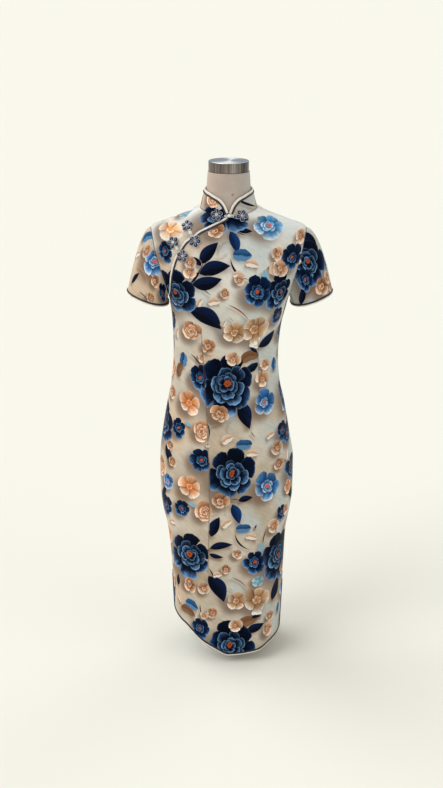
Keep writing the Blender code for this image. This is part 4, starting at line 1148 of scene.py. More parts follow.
# %% [markdown]
# ## Petals by formula
# A blossom is rings of rounded petals, each lapping its neighbour. In a petal ring, the
# angle times the number of petals counts round; its whole part names the petal and its
# fraction runs across it. A petal reaches out as a rounded lobe, dark at its foot, paler
# to its lip, with a thin light edge. A camellia is four such rings over one another, each
# smaller than the last and turned from it, round a rust-coloured heart.

# %% Petal ring
def make_petal_ring():
    """Ring of lapping petals: cover, depth from foot to lip, light edge, lap and tone."""
    tree, s, given, leave = group(
        "petal_ring",
        {"Place": "Vector", "Petals": "Float", "Reach": "Float", "Turn": "Float",
         "Seed": "Float", "Notch": "Float"},
        {"Cover": "Float", "Depth": "Float", "Edge": "Float", "Lap": "Float",
         "Tone": "Float", "Brushed": "Float"})
    x, y, _ = s.parts(given["Place"])
    far = s.do("SQRT", x * x + y * y)
    count = (s.do("ARCTAN2", y, x) + given["Turn"]) * given["Petals"] / (2 * np.pi)
    which = s.do("FLOORED_MODULO", s.do("FLOOR", count), given["Petals"])
    across = s.do("FRACT", count)
    vary = s.node("TexWhiteNoise", noise_dimensions="2D")
    fill(vary, Vector=s.vector(which, given["Seed"], 0.0))
    size = 0.82 + s.value(vary.outputs["Value"]) * 0.26
    lean, tone, _ = s.parts(s.value(vary.outputs["Color"]))
    out = s.do("MINIMUM", abs(across - (0.42 + lean * 0.16)) * 1.8, 1.0)
    lobe = s.do("SQRT", s.do("MAXIMUM", 1.0 - out ** 2.6, 0.0))
    reach = given["Reach"] * size * (1.0 - given["Notch"] + lobe * given["Notch"])
    depth = far / s.do("MAXIMUM", reach, 0.001)
    side = s.step(across, 0.945, 0.985) * (s.step(depth, 0.35, 0.65) * 0.7)
    strokes = s.vector(across * 4.0 + which * 7.3, far * 1.6, given["Seed"])
    fill(leave, Cover=s.step(reach - far, 0.0, 0.020), Depth=depth,
         Edge=s.do("MAXIMUM", s.step(depth, 0.915, 0.975), side),
         Lap=s.step(across, -0.08, 0.44), Tone=tone, Brushed=s.noise(strokes, 1.6, 3.0))
    return tree


# %% Blossom and leaf
MOST_PETALS = 10.0


def make_blossom(ring):
    """A blossom from its place and kind: four petal rings and a heart, lit from above."""
    tree, s, given, leave = group("blossom", {"Place": "Vector"},
                                  {"Colour": "Color", "Cover": "Float"})
    x, y, kind = s.parts(given["Place"])
    seed = s.do("FRACT", kind)
    row = (s.do("FLOOR", kind) + 0.5) / float(len(BLOSSOMS))
    dark, mid, rim, heart, full, soft = [
        s.lookup(row, BLOSSOMS, name)
        for name in ("dark", "mid", "rim", "heart", "fullness", "softness")]
    petals = s.do("ROUND", s.lookup(row, BLOSSOMS, "petals", MOST_PETALS) * MOST_PETALS)
    flat = s.vector(x, y, seed * 19.0)
    wave, ripple = s.noise(flat, 1.7) - 0.5, s.noise(flat, 4.5) - 0.5
    squash = 0.95 + s.do("SINE", seed * 31.0) * 0.10
    bent = s.vector(x + wave * 0.26, y * squash + ripple * 0.15, 0.0)
    bent_x, bent_y, _ = s.parts(bent)
    under = s.step(y + x * 0.35, 0.75, -0.75)
    start = seed * (2 * np.pi)
    rings = [(1.0, petals, start, 0.0, 0.36),
             (full * 0.61, petals, start + np.pi / petals, 3.0, 0.42),
             (full * 0.41, petals - 1.0, start * 1.7, 5.0, 0.40),
             (s.step(full, 0.7, 1.0) * 0.25, 4.0, start * 2.3, 7.0, 0.36)]
    colour, cover = None, None
    for number, (size, count, turn, extra, notch) in enumerate(rings):
        inner = min(number, 1)
        shift = s.do("SINE", seed * (17.0 + 9.0 * number)) * (0.05 * inner)
        drop = s.do("COSINE", seed * (23.0 + 7.0 * number)) * (0.04 * inner)
        moved = s.vector(bent_x + shift, bent_y + (drop + 0.03 * inner), 0.0)
        out = s.use(ring, Place=moved, Petals=count, Reach=size, Turn=turn,
                    Seed=s.do("ROUND", seed * 200.0) + extra, Notch=notch)
        lit = (0.14 + 0.20 * number) + under * (0.86 - 0.20 * number)
        lit = lit + (1.0 - lit) * (soft * 0.75)
        rise = out["Depth"] + (out["Brushed"] - 0.5) * 0.46
        pale = s.step(rise, (0.50 - 0.06 * inner) - soft * 0.50, 1.14) * lit
        petal = s.blend(pale, dark, mid)
        petal = s.blend(pale ** (3.4 - 1.1 * inner) * 0.90, petal, rim)
        dim = (0.34 + out["Lap"] * 0.66) * (0.72 + out["Tone"] * 0.50)
        petal = s.blend(1.0, petal, s.vector(dim, dim, dim), "MULTIPLY")
        crisp = out["Edge"] * ((0.10 + 0.12 * inner) + out["Tone"] * (0.40 + 0.45 * inner))
        petal = s.blend(crisp * lit, petal, rim)
        if colour is None:
            colour, cover = petal, out["Cover"]
        else:
            near = s.step(out["Depth"], 1.42, 0.98) * (0.55 + under * 0.40)
            dusk = s.blend(near * s.step(size, 0.0, 0.1), colour, dark)
            colour = s.blend(out["Cover"], dusk, petal)
    stamen = s.use(ring, Place=bent, Petals=9.0, Reach=0.13 + s.step(full, 0.9, 0.5) * 0.07,
                   Turn=start, Seed=1.0, Notch=0.74)
    warm = s.blend(s.step(stamen["Depth"], -0.2, 0.6), dark, heart)
    fill(leave, Colour=s.blend(stamen["Cover"] * 0.86, colour, warm), Cover=cover)
    return tree


def make_leaf():
    """A leaf from its place along and across: its half-width, vein, fold and pale edge.

    The half-width is width (1 - x^2)^power (1 - 0.26 x), as in leaf_half. Broad kinds are
    loose petals or buds: their edge waves and they have a fold in place of a vein.
    """
    tree, s, given, leave = group("leaf", {"Place": "Vector"},
                                  {"Colour": "Color", "Cover": "Float"})
    x, y, kind = s.parts(given["Place"])
    row = (s.do("FLOOR", kind) + 0.5) / float(len(LEAVES))
    dark, mid, rim, width = [s.lookup(row, LEAVES, name)
                             for name in ("dark", "mid", "rim", "width")]
    round_end = s.step(width, 0.47, 0.55)
    waved = s.noise(s.vector(x * 1.3, s.do("SIGN", y), kind), 1.6, 1.0) - 0.5
    belly = s.do("MAXIMUM", 1.0 - x * x, 0.0) ** (0.92 - round_end * 0.42)
    belly = belly * (1.0 + waved * 0.9 * round_end)
    off = abs(y)
    inside = width * belly * (1.0 - x * 0.26) - off
    brushed = s.noise(s.vector(x * 1.2, y * 9.0, kind), 3.0, 3.0)
    pale = s.step(y, -0.3, 0.4) * 0.5 + brushed * 0.7
    colour = s.blend(s.step(pale, 0.35, 1.1), dark, mid)
    fold = s.step(y + (brushed - 0.5) * 0.5 + waved * 0.4, 0.10, -0.16)
    colour = s.blend(fold * round_end * 0.70, colour, rim)
    crease = s.step(abs(y + waved * 0.5), 0.07, 0.0)
    colour = s.blend(crease * round_end * 0.75, colour, dark)
    broad = s.step(width, 0.08, 0.2) * (1.0 - round_end)
    colour = s.blend(s.step(off, 0.030, 0.008) * (broad * 0.45), colour, mid)
    edge = s.step(inside, 0.045, 0.012) * s.step(y, -0.02, 0.04)
    fill(leave, Colour=s.blend(edge * 0.75, colour, rim), Cover=s.step(inside, 0.0, 0.014))
    return tree


PETAL_RING = make_petal_ring()
BLOSSOM = make_blossom(PETAL_RING)
LEAF = make_leaf()
print("shader groups:", [tree.name for tree in (PETAL_RING, BLOSSOM, LEAF)])

# %% [markdown]
# Satin is woven so that long threads lie on its face: that gives the soft gloss along the
# threads. The weave itself is finer than a millimetre, so it is a bump and a slight change
# of roughness, read from the flat cloth's own coordinates, so that it follows the panel.

# %% Weave group
def make_weave():
    """Fine threads on the flat cloth: height and a mask of uneven threads."""
    tree, s, given, leave = group("satin_weave", {"Flat": "Vector", "Pitch": "Float"},
                                  {"Height": "Float", "Uneven": "Float"})
    x, y, _ = s.parts(given["Flat"])
    along, up = x / given["Pitch"], y / given["Pitch"]
    thread = s.do("SINE", along * (2 * np.pi))
    floats = s.do("SINE", (up * 0.20 + along * 0.4) * (2 * np.pi))
    fill(leave, Height=thread * 0.5 + floats * 0.35,
         Uneven=s.noise(s.vector(along * 0.25, up * 0.012, 0.0), 1.0, 3.0))
    return tree


WEAVE = make_weave()


# %% Materials of the cloth
def new_material(name, roughness, metallic=0.0):
    """Principled material with constant gloss; returns it, its sums, and its shader."""
    made = bpy.data.materials.new(name)
    made.use_nodes = True
    shader = made.node_tree.nodes["Principled BSDF"]
    fill(shader, Roughness=roughness, Metallic=metallic)
    return made, Sums(made.node_tree), shader


def printed_satin():
    """Greige satin with washes, painted light, shadows, leaves and two layers of blossoms."""
    made, s, shader = new_material("printed_satin", 0.40)
    flat = s.place("flat")
    u, v, _ = s.parts(flat)
    across, _, _ = s.parts(s.place("object"))
    cloud = s.noise(flat, 9.0, 3.0)
    # Partly a random wash, partly painted light: across is the scene's x, so the cloth is tinted
    # cooler towards +x and warmer towards -x, as the colour of the light on each side
    wash_and_side_light = s.noise(flat, 7.0, 3.0) + across * 0.85
    strokes = s.noise(s.vector(u * 60.0, (v + u * 0.6) * 160.0, 0.0), 1.0, 4.0)
    colour = s.washed(
        s.blend(s.step(cloud, 0.35, 0.65), linear(184, 170, 150), linear(208, 198, 184)),
        # Painted light: the panels grow paler from the hips up to the bust, as light falls on the
        # upper body
        (s.step(v, 0.62, 1.00), 0.66, (224, 223, 216)),
        # Random wash with painted side light: cool grey where the field is high, warm tan where it
        # is low
        (s.step(wash_and_side_light, 0.50, 0.64), 0.72, (186, 196, 196)),
        (s.step(wash_and_side_light, 0.42, 0.30), 0.65, (208, 180, 152)),
        # Painted highlight: paler still over the shoulders, where the light falls brightest
        (s.step(v, 1.08, 1.24), 0.75, (238, 241, 238)),
        (s.step(strokes, 0.46, 0.72), 0.14, (140, 116, 96)),
        (s.step(strokes, 0.50, 0.28), 0.15, (238, 232, 222)),
        (s.painted("shade") ** 1.15, 0.88, (108, 80, 60)))
    for name, tree in (("stem_place", LEAF), ("leaf_place", LEAF),
                       ("large_place", BLOSSOM), ("small_place", BLOSSOM)):
        motif = s.use(tree, Place=s.painted(name, "Vector"))
        colour = s.blend(motif["Cover"], colour, motif["Colour"])
    # Along each dart the line is sunk by a bump and darkened with painted shade
    groove = s.step(abs(s.painted("dart")), 0.0026, 0.0002)
    weave = s.use(WEAVE, Flat=flat, Pitch=0.0009)
    sunk = s.bump(1.0 - groove, 0.5, 0.0012)
    fill(shader, Base_Color=s.washed(colour, (groove, 0.46, (86, 64, 52))),
         Roughness=0.34 + weave["Uneven"] * 0.16,
         Normal=s.bump(weave["Height"], 0.22, 0.00012, sunk), Specular_IOR_Level=0.03)
    return made


def plain_satin(name, colour, deep, roughness):
    """Plain satin for bindings, piping and cords: threads across, slight unevenness."""
    made, s, shader = new_material(name, roughness)
    where = s.place("object")
    patch, thread = s.noise(where, 90.0, 3.0), s.noise(where, 900.0, 2.0)
    fill(shader, Base_Color=s.blend(s.step(patch, 0.35, 0.70), linear(*colour), linear(*deep)),
         Roughness=(roughness - 0.05) + patch * 0.12,
         Normal=s.bump(thread, 0.25, 0.0002))
    return made


PRINTED = printed_satin()
CREAM = plain_satin("cream_satin", (236, 226, 214), (214, 202, 188), 0.42)
NAVY = plain_satin("navy_satin", (12, 18, 44), (7, 10, 28), 0.46)
SILVER = plain_satin("silver_cord", (238, 236, 232), (196, 194, 192), 0.30)
print("cloth materials made")

# %% [markdown]
# ## Cutting the panels
# The printer's sheet is laid out for the front, and the underlap shares it. The back is cut
# from the same cloth further along the bolt, so it has the sheet mirrored and moved, and
# the sleeves and collar have short sheets of their own. Darts take cloth away: beside each
# dart the print jumps by the dart's width.

# %% Flat coordinates of a panel
YOKE = 0.9000             # above this height lengths up are measured at each angle
TABLE_TURNS, TABLE_ROWS, TABLE_REACH = 240, 360, np.radians(120.0)
BACK_PRINT_MOVE = (0.020, 0.012)


def between(grid, row_at, column_at):
    """Value of a grid at fractional rows and columns, from its four neighbours."""
    row = np.clip(row_at.astype(int), 0, grid.shape[0] - 2)
    place = np.clip(column_at.astype(int), 0, grid.shape[1] - 2)
    over, across = row_at - row, column_at - place
    low = grid[row, place] * (1 - across) + grid[row, place + 1] * across
    high = grid[row + 1, place] * (1 - across) + grid[row + 1, place + 1] * across
    return low * (1 - over) + high * over


def flat_spots(angle, station, middle_deg):
    """Flat places on a panel: true length round from its middle line, and length up.

    Up to the yoke, lengths up are the middle line's; above it, each angle's own.
    """
    middle, reach = np.radians(middle_deg), TABLE_REACH
    turns = middle + np.linspace(-reach, reach, TABLE_TURNS + 1)
    rows = np.linspace(0.0, NECKLINE, TABLE_ROWS + 1)
    points = cloth(turns[None, :], rows[:, None])
    run, climb = run_along(points, 1), run_along(points)
    run = run - run[:, TABLE_TURNS // 2, None]
    yoke = int(np.searchsorted(rows, YOKE))
    up = np.where(rows[:, None] < YOKE, climb[:, TABLE_TURNS // 2, None],
                  climb[yoke, TABLE_TURNS // 2] + climb - climb[yoke])
    row_at = station / NECKLINE * TABLE_ROWS
    column_at = (angle - middle + reach) / (2 * reach) * TABLE_TURNS
    return np.stack([between(run, row_at, column_at), between(up, row_at, column_at)], axis=-1)


DART_COLUMNS = "across_low low across_mid across_high high width"
FRONT_DARTS = table(
    DART_COLUMNS,
    right_long=(-0.050, 0.262, -0.044, -0.064, 0.905, 0.014),
    left_waist=(0.084, 0.725, 0.080, 0.071, 0.935, 0.012))
BACK_DARTS = table(
    DART_COLUMNS,
    back_left=(-0.066, 0.640, -0.064, -0.066, 0.930, 0.014),
    back_right=(0.066, 0.640, 0.064, 0.066, 0.930, 0.014))


def sew_darts(spots, darts):
    """Moves the print beside each dart and returns the spots and the distance to a dart.

    A dart's line bows through its middle; the cloth beyond it moves out by the width of a
    lens, sin(pi t), where t runs from its low to its high end.
    """
    moved, nearest = spots.copy(), np.ones(spots.shape[:2])
    for dart in darts.values():
        t = (spots[..., 1] - dart["low"]) / (dart["high"] - dart["low"])
        inside = (t > 0) & (t < 1)
        t = np.clip(t, 0.0, 1.0)
        line = (1 - t) * dart["across_low"] + t * dart["across_high"]
        middle = dart["across_mid"] - (dart["across_low"] + dart["across_high"]) / 2
        line = line + middle * 4 * t * (1 - t)
        off, outward = spots[..., 0] - line, np.sign(line)
        jump = outward * dart["width"] * np.sin(np.pi * t)
        moved[..., 0] += np.where(off * outward > 0, jump, 0.0)
        closer = inside & (np.abs(off) < np.abs(nearest))
        nearest = np.where(closer, off, nearest)
    return moved, nearest


def moved_print(across, up):
    """The front's print mirrored and moved along the bolt."""
    return [[(kind, across - x, up + y, size, 180 - turn if bend else -turn,
              *(-each for each in bend)) for kind, x, y, size, turn, *bend in rows]
            for rows in PRINT_ON_FRONT]


# %% Front, back and underlap
def add_piece(name, mesh, finish, slot, *solids):
    """Object of a mesh: rides the body and stands for its solids. Its slot is not used."""
    piece = bpy.data.objects.new(name, mesh)
    bpy.context.scene.collection.objects.link(piece)
    for each in finish if isinstance(finish, (list, tuple)) else [finish]:
        mesh.materials.append(each)
    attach(piece, ROOT)
    if solids:
        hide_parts(*solids)
    print(name, len(mesh.polygons), "faces")
    return piece


def cloth_piece(solid, name, grid, spots, print_rows, seam=None, closed=False):
    """Printed wall of a grid of points, standing for its solid."""
    mesh, corners, outer_quads = wall_mesh(name, grid, closed)
    paint(mesh, corners, outer_quads, spots, seam, print_rows)
    return add_piece(name, mesh, PRINTED, "printed_satin", solid)


front_angle, front_station = front_field()
front_grid = cloth(front_angle, front_station)
front_spots, seam = sew_darts(flat_spots(front_angle, front_station, -90.0), FRONT_DARTS)
dress_front = cloth_piece("front_panel", "dress_front", front_grid, front_spots,
                          PRINT_ON_FRONT, seam)

back_angle, back_station = back_field()
back_grid = cloth(back_angle, back_station)
back_spots, seam = sew_darts(flat_spots(back_angle, back_station, 90.0), BACK_DARTS)
dress_back = cloth_piece("back_panel", "dress_back", back_grid, back_spots,
                         moved_print(*BACK_PRINT_MOVE), seam)

lap_angle, lap_station, lap_lift = underlap_field()
lap_grid = cloth(lap_angle, lap_station, lap_lift)
dress_underlap = cloth_piece("underlap", "dress_underlap", lap_grid,
                             flat_spots(lap_angle, lap_station, -90.0), PRINT_ON_FRONT)

# %% [markdown]
# A set-in sleeve is one piece of cloth, closed by a seam under the arm. Its grid starts
# and ends at that seam. Its flat coordinates are true lengths: round the arm from the
# outer line, and up from the hem. Each sleeve was cut where the print suited, so each has
# its own short sheet: large and small blossoms, leaves and stems, in millimetres.

# %% Sleeves
SLEEVE_PRINTS = {
    "sleeve_right": (
        {"camellia": [(-110, 70, 50, 200)], "sky": [(92, 104, 43, 80)],
         "indigo": [(124, 128, 28, 300)]},
        {"indigo": [(150, 36, 23, 200), (-60, 140, 26, 150)],
         "umber": [(113, 60, 17, 10), (99, 18, 13, 60)], "blush": [(52, 118, 15, 40)],
         "haze": [(-20, 150, 18, 20)], "rose": [(-30, 50, 24, 100)],
         "peach": [(-170, 40, 24, 30)]},
        {"bud": [(26, 152, 20, 66, 0)], "slim": [(40, 46, 20, 58, 0.1)],
         "husk": [(90, 76, 30, -30, 0.2)],
         "night": [(-50, 95, 26, 40, 0.1), (170, 50, 18, 40, 0.1)],
         "chip": [(20, 100, 13, 30, 0.2)]},
        {"stem": [(78, 16, 16, -20, 0.1)], "thread": [(60, 66, 24, -24, 0.2)]}),
    "sleeve_left": (
        {"camellia": [(-80, 102, 66, 100)], "sky": [(100, 80, 40, 20)]},
        {"indigo": [(-106, 62, 26, 40), (40, 40, 26, 120)],
         "umber": [(-56, 32, 24, 10), (-20, 16, 13, 20)],
         "blush": [(-112, 120, 20, 80), (-28, 44, 17, 60)], "rose": [(50, 120, 24, 50)],
         "peach": [(160, 40, 24, 160)]},
        {"night": [(-118, 30, 26, 80, 0.06), (-34, 148, 34, 78, 0), (70, 70, 26, 130, 0.1)],
         "bud": [(-24, 78, 16, -40, 0)], "husk": [(-86, 40, 26, 20, 0.2)],
         "chip": [(10, 110, 13, 80, 0.2)], "slim": [(140, 100, 26, 60, 0.1)]},
        {"stem": [(-36, 66, 18, 60, 0.1)]}),
}


def sleeve_spots(grid):
    """Flat place on a sleeve's closed grid, whose middle column is the outer line."""
    middle = grid.shape[1] // 2
    wrap = np.concatenate([grid, grid[:, :1]], axis=1)
    run = run_along(wrap, 1)
    return np.stack([run - run[:, middle:middle + 1], run_along(wrap)], axis=-1)


sleeve_outer, sleeves = {}, {}
for name in SLEEVES:
    # The formula's rows run down the arm; turned over both ways they run up and outward
    grid = sleeve_points(name)[::-1, ::-1]
    outer_line = int(np.argmax(np.abs(grid[0, :, 0])))
    grid = np.roll(grid, SLEEVE_TURNS // 2 - outer_line, axis=1)
    sleeve_outer[name] = grid
    sleeves[name] = cloth_piece(name, "dress_" + name, grid, sleeve_spots(grid),
                                list(map(motifs, SLEEVE_PRINTS[name])), closed=True)

# %% [markdown]
# The stand collar is one band, stiffened, cut in a curved V at the throat. It shows a
# different part of the print on each side of the opening.

# %% Collar
collar_grid = collar_points(COLLAR_COLUMNS, COLLAR_ROWS)
seam_run = run_along(collar_grid[0])
collar_up = np.linalg.norm(collar_grid - collar_grid[:1], axis=-1)
collar_spots = np.stack([seam_run - seam_run[-1] / 2 + 0 * collar_up, collar_up], axis=-1)
COLLAR_PRINT = (
    {"camellia": [(190, -36, 64, 10), (-40, 14, 40, 40)], "rose": [(168, 34, 24, 20)],
     "amber": [(40, 30, 26, 0)]},
    {"indigo": [(-80, 18, 26, 30)], "rose": [(100, 12, 24, 10)]},
    {"night": [(70, 30, 26, 20, 0.1)], "slim": [(-70, 22, 26, -30, 0.1)]},
    {"stem": [(-158, 22, 42, -27, -0.06), (-121, 10, 10, 50, 0)]})
dress_collar = cloth_piece("collar", "dress_collar", collar_grid, collar_spots,
                           list(map(motifs, COLLAR_PRINT)))

# %% [markdown]
# ## Bindings and piping
# Every edge that shows is closed by a folded strip of cream satin, with a thin navy piping
# sewn in along its inner side. The strip is a flat oval profile that goes round the
# cloth's edge, and the piping a small round one, each carried along the edge's points.

# %% Profiles carried along an edge
def carried(name, path, inward, normal, profile, closed):
    """Tube of a profile carried along a path: point + inward a + normal n for each (a, n).

    An open tube is closed at both ends by a fan about its middle.
    """
    grid = (path[:, None] + inward[:, None] * profile[None, :, :1]
            + normal[:, None] * profile[None, :, 1:])
    points, quads, fans = closed_ring(grid) if closed else closed_stack(grid)
    tangent = path[min(4, len(path) - 1)] - path[0]
    turned = np.cross(profile[1], profile[0])
    if np.dot(np.cross(inward[0], normal[0]), tangent) * turned > 0:
        quads, fans = quads[:, ::-1], fans[:, ::-1]
    return mesh_from(name, points + FIGURE_AT, quads, fans)


def oval(inner, outer, low, high, corners=4, points=16):
    """Closed flat profile: a superellipse between two distances in and two heights."""
    turn = whole_turn(points)
    round_by = lambda value: np.sign(value) * np.abs(value) ** (2 / corners)
    a = (inner + outer) / 2 + (inner - outer) / 2 * round_by(np.cos(turn))
    n = (low + high) / 2 + (high - low) / 2 * round_by(np.sin(turn))
    return np.stack([a, n], axis=1)


BAND_OVER, BAND_OUT, PIPING_R = 0.0007, 0.0009, 0.0018
NARROW, MIDDLE, WIDE = 0.0030, 0.0042, 0.0050      # how far bands reach in from the edge
PLACKET_FROM, PLACKET_TO = 0.962, 1.2495           # stations of the opening's band


def path_steps(path, closed):
    """Direction of a path at each of its points, from the neighbours."""
    if closed:
        return np.roll(path, -1, axis=0) - np.roll(path, 1, axis=0)
    return np.gradient(path, axis=0)


def edge_frames(points, rows, columns, closed=False):
    """Path along grid places, with the inward and outward directions there.

    Inward is the surface normal crossed with the path's direction, turned to point into
    the panel, so that it stays square to the edge round a corner.
    """
    normals = grid_normals(points, closed)[rows, columns]
    path = points[rows, columns]
    keep = np.concatenate([[True], np.linalg.norm(np.diff(path, axis=0), axis=1) > 2e-4])
    path, normals = path[keep], normals[keep]
    inward = unit(np.cross(normals, path_steps(path, closed)))
    start = len(path) // 2
    row, place = rows[keep][start], columns[keep][start]
    toward_row = np.sign(points.shape[0] // 2 - row) * 2
    toward_place = np.sign(points.shape[1] // 2 - place) * 2 * (not closed)
    probe = points[row + toward_row, place + toward_place]
    if np.dot(inward[start], probe - path[start]) < 0:
        inward = -inward
    return path, inward, normals


def trim(name, wide, frames, closed=False):
    """Cream band and navy piping along an edge, standing for the solid of that name."""
    over = oval(wide, -BAND_OUT, -CLOTH - BAND_OVER, BAND_OVER)
    cord = oval(wide + 2.2 * PIPING_R, wide - 0.3 * PIPING_R, -0.5 * PIPING_R,
                1.2 * PIPING_R, 2, 10)
    band = carried(name + "_band", *frames, over, closed)
    pipe = carried(name + "_piping", *frames, cord, closed)
    add_piece(name + "_band", band, CREAM, "binding_satin", name)
    add_piece(name + "_piping", pipe, NAVY, "frog_satin")


def skirt_edge(grid, station):
    """Grid places down one slit, along the hem, and up the other slit."""
    slit_rows = int(np.argmin(np.abs(station[:, 0] - SLIT_TOP)))
    last = grid.shape[1] - 1
    down, along = np.arange(slit_rows, 0, -1), np.arange(last + 1)
    rows = np.concatenate([down, 0 * along, down[::-1]])
    columns = np.concatenate([0 * down, along, 0 * down + last])
    return rows, columns


trim("binding_front_hem", NARROW,
     edge_frames(front_grid, *skirt_edge(front_grid, front_station)))
trim("binding_back_hem", NARROW, edge_frames(back_grid, *skirt_edge(back_grid, back_station)))
edge_station = front_station[:, 0]
edge_rows = np.flatnonzero((edge_station > PLACKET_FROM) & (edge_station < PLACKET_TO))
trim("binding_placket", MIDDLE, edge_frames(front_grid, edge_rows, 0 * edge_rows))
edge_columns = np.arange(COLLAR_COLUMNS + 1)
trim("binding_collar", WIDE,
     edge_frames(collar_grid, 0 * edge_columns + COLLAR_ROWS, edge_columns))
for name in SLEEVES:
    grid = sleeve_outer[name]
    ring = np.arange(SLEEVE_TURNS)
    trim("binding_" + name, NARROW, edge_frames(grid, 0 * ring, ring, closed=True), True)

# %% [markdown]
# ## Flower frogs
# Each fastening is a pair of rosettes joined by a ball button. A rosette is five small
# padded satin petals, each ringed by a thin bright cord, round a coil of the same cord.
# They are tubes carried along circles and spirals, and low domes, joined in one mesh.

# %% Frog tables
FROGS = table(
    "across height turn_deg stand_off",
    frog_neck_right=(-0.0275, 1.1660, 20.0, 0.0060),
    frog_neck_left=(0.0290, 1.1630, -20.0, 0.0060),
    frog_upper_right=(-0.0975, 1.1370, 35.0, 0.0050),
    frog_upper_left=(-0.0785, 1.1060, 215.0, 0.0050),
    frog_lower_right=(-0.1290, 1.1010, 50.0, 0.0060),
    frog_lower_left=(-0.1070, 1.0720, 230.0, 0.0060))
KNOTS = {
    "knot_neck": ("frog_neck_right", "frog_neck_left"),
    "knot_upper": ("frog_upper_right", "frog_upper_left"),
    "knot_lower": ("frog_lower_right", "frog_lower_left"),
}
FROG_PETALS, PETAL_RING_R, PETAL_R, PETAL_HIGH = 5, 0.0094, 0.0050, 0.0034
BACKING_HIGH, PETAL_LOW, FROG_SINK = 0.0016, 0.0008, 0.0032
CORD_R, VEIN_CORD, COIL_CORD = 0.00050, 0.75, 1.15      # veins and coil as shares of it
COIL_R, COIL_EYE, COIL_TURNS, COIL_HIGH, COIL_SLOPE = 0.0032, 0.0006, 3.2, 0.0030, 0.0010
KNOT_R, KNOT_CORE, KNOT_CORD_R, KNOT_STAND_OFF = 0.0042, 0.86, 0.0008, 0.0080
KNOT_LAPS, KNOT_WAVES, KNOT_TILT = 3, 5, 1.15
LOOP_FROM, LOOP_LONG, LOOP_HALF_GAP, LOOP_BOW = 0.0024, 0.0085, 0.0007, 0.0011
LOOP_DROP, LOOP_FALL = 0.0012, 0.0030


def seat_on_front(across, height, lift):
    """Middle, outward normal, and up and across directions on the front of the cloth."""
    angle, station = on_front(np.array([across]), np.array([height]))
    middle = cloth(angle, station, lift)[0]
    normal = ring_normal(angle, station)[0]
    up = unit(np.array([0.0, 0.0, 1.0]) - normal * normal[2])
    return middle, normal, np.cross(up, normal), up


# %% Cord and dome as arrays
def cord_along(path, radius, closed, sides=6):
    """Tube round a path: point + radius (cos side + sin up), square to its direction."""
    along = unit(path_steps(path, closed))
    guide = np.where(np.abs(along[:, 2:]) > 0.9, [[1.0, 0.0, 0.0]], [[0.0, 0.0, 1.0]])
    side = unit(np.cross(along, guide))
    turn = whole_turn(sides)[None, :, None]
    grid = path[:, None] + radius * (side[:, None] * np.cos(turn)
                                     + np.cross(side, along)[:, None] * np.sin(turn))
    points, quads, fans = closed_ring(grid) if closed else closed_stack(grid, path[[0, -1]])
    return points, quads[:, ::-1], fans[:, [1, 0, 2]]


def circle(middle, radius, height, count=24):
    """Closed ring of points in the frog's own plane."""
    turn = whole_turn(count)
    return np.stack([middle[0] + radius * np.cos(turn), middle[1] + radius * np.sin(turn),
                     height + 0 * turn], axis=1)


def dome(middle, radius, high, rings=5, turns=16):
    """Low closed cushion in the frog's own plane: height (1 - r^2)^0.5 above, flat below."""
    lean = np.linspace(np.pi / 2, 0.25, rings)
    share, rise = [0.6, *np.sin(lean)], [0.0, *(high * np.cos(lean))]
    grid = np.stack([circle(middle, radius * s, z, turns) for s, z in zip(share, rise)])
    return closed_stack(grid, [[*middle, 0.0], [*middle, high]])


def joined(parts):
    """One set of points, quads and triangles from several, with each part's number."""
    numbers, meshes = zip(*parts)
    base = np.cumsum([0] + [len(points) for points, _, _ in meshes])
    sets = [[mesh[0] for mesh in meshes]]
    number_of = []
    for kind in (1, 2):
        sets.append([mesh[kind] + first for mesh, first in zip(meshes, base)])
        number_of += [np.full(len(mesh[kind]), n) for n, mesh in zip(numbers, meshes)]
    return *map(np.concatenate, sets), np.concatenate(number_of)


def set_down(name, parts, seat, finishes, slot, solid):
    """Joins parts made in a frog's own plane, carries them to their seat, and adds them."""
    points, quads, triangles, number_of = joined(parts)
    middle, normal, across, up = seat
    placed = (middle + FIGURE_AT + points[:, :1] * across + points[:, 1:2] * up
              + points[:, 2:] * normal)
    mesh = mesh_from(name, placed, quads, triangles)
    mesh.polygons.foreach_set("material_index", number_of.astype(np.int32))
    return add_piece(name, mesh, finishes, slot, *([solid] if solid else []))


# %% Rosettes and ball buttons
def rosette(name, across, height, turn_deg, stand_off):
    """Five ringed petals and a coil: the coil's radius grows evenly with its turns."""
    parts = [(0, dome((0.0, 0.0), PETAL_RING_R, BACKING_HIGH, 3, 20))]
    for petal in range(FROG_PETALS):
        turn = np.radians(turn_deg) + petal * 2 * np.pi / FROG_PETALS
        far = PETAL_RING_R * (1.0 + 0.05 * np.sin(petal * 2.3))
        way = np.array([np.cos(turn), np.sin(turn)])
        points, quads, triangles = dome(far * way, PETAL_R, PETAL_HIGH)
        points[:, 2] += PETAL_LOW
        rim = circle(far * way, PETAL_R, PETAL_LOW + CORD_R)
        stitch = np.linspace(0.50, 1.12, 9)[:, None]
        on_dome = PETAL_HIGH * np.sqrt(1 - ((stitch - 1) * far / PETAL_R) ** 2)
        vein = np.concatenate([stitch * far * way, PETAL_LOW + on_dome + 0.0001], axis=1)
        parts += [(0, (points, quads, triangles)), (1, cord_along(rim, CORD_R, True)),
                  (1, cord_along(vein, CORD_R * VEIN_CORD, False, 5))]
    share = np.linspace(0.0, 1.0, 80)
    wind = COIL_TURNS * 2 * np.pi * share
    reach = COIL_EYE + (COIL_R - COIL_EYE) * share
    coil = np.stack([reach * np.cos(wind), reach * np.sin(wind),
                     COIL_HIGH - COIL_SLOPE * share**2], axis=1)
    parts.append((1, cord_along(coil, CORD_R * COIL_CORD, False)))
    return set_down("rosette_" + name, parts, seat_on_front(across, height, stand_off - FROG_SINK),
                    [FROG_NAVY, FROG_CORD], "frog_satin", name)


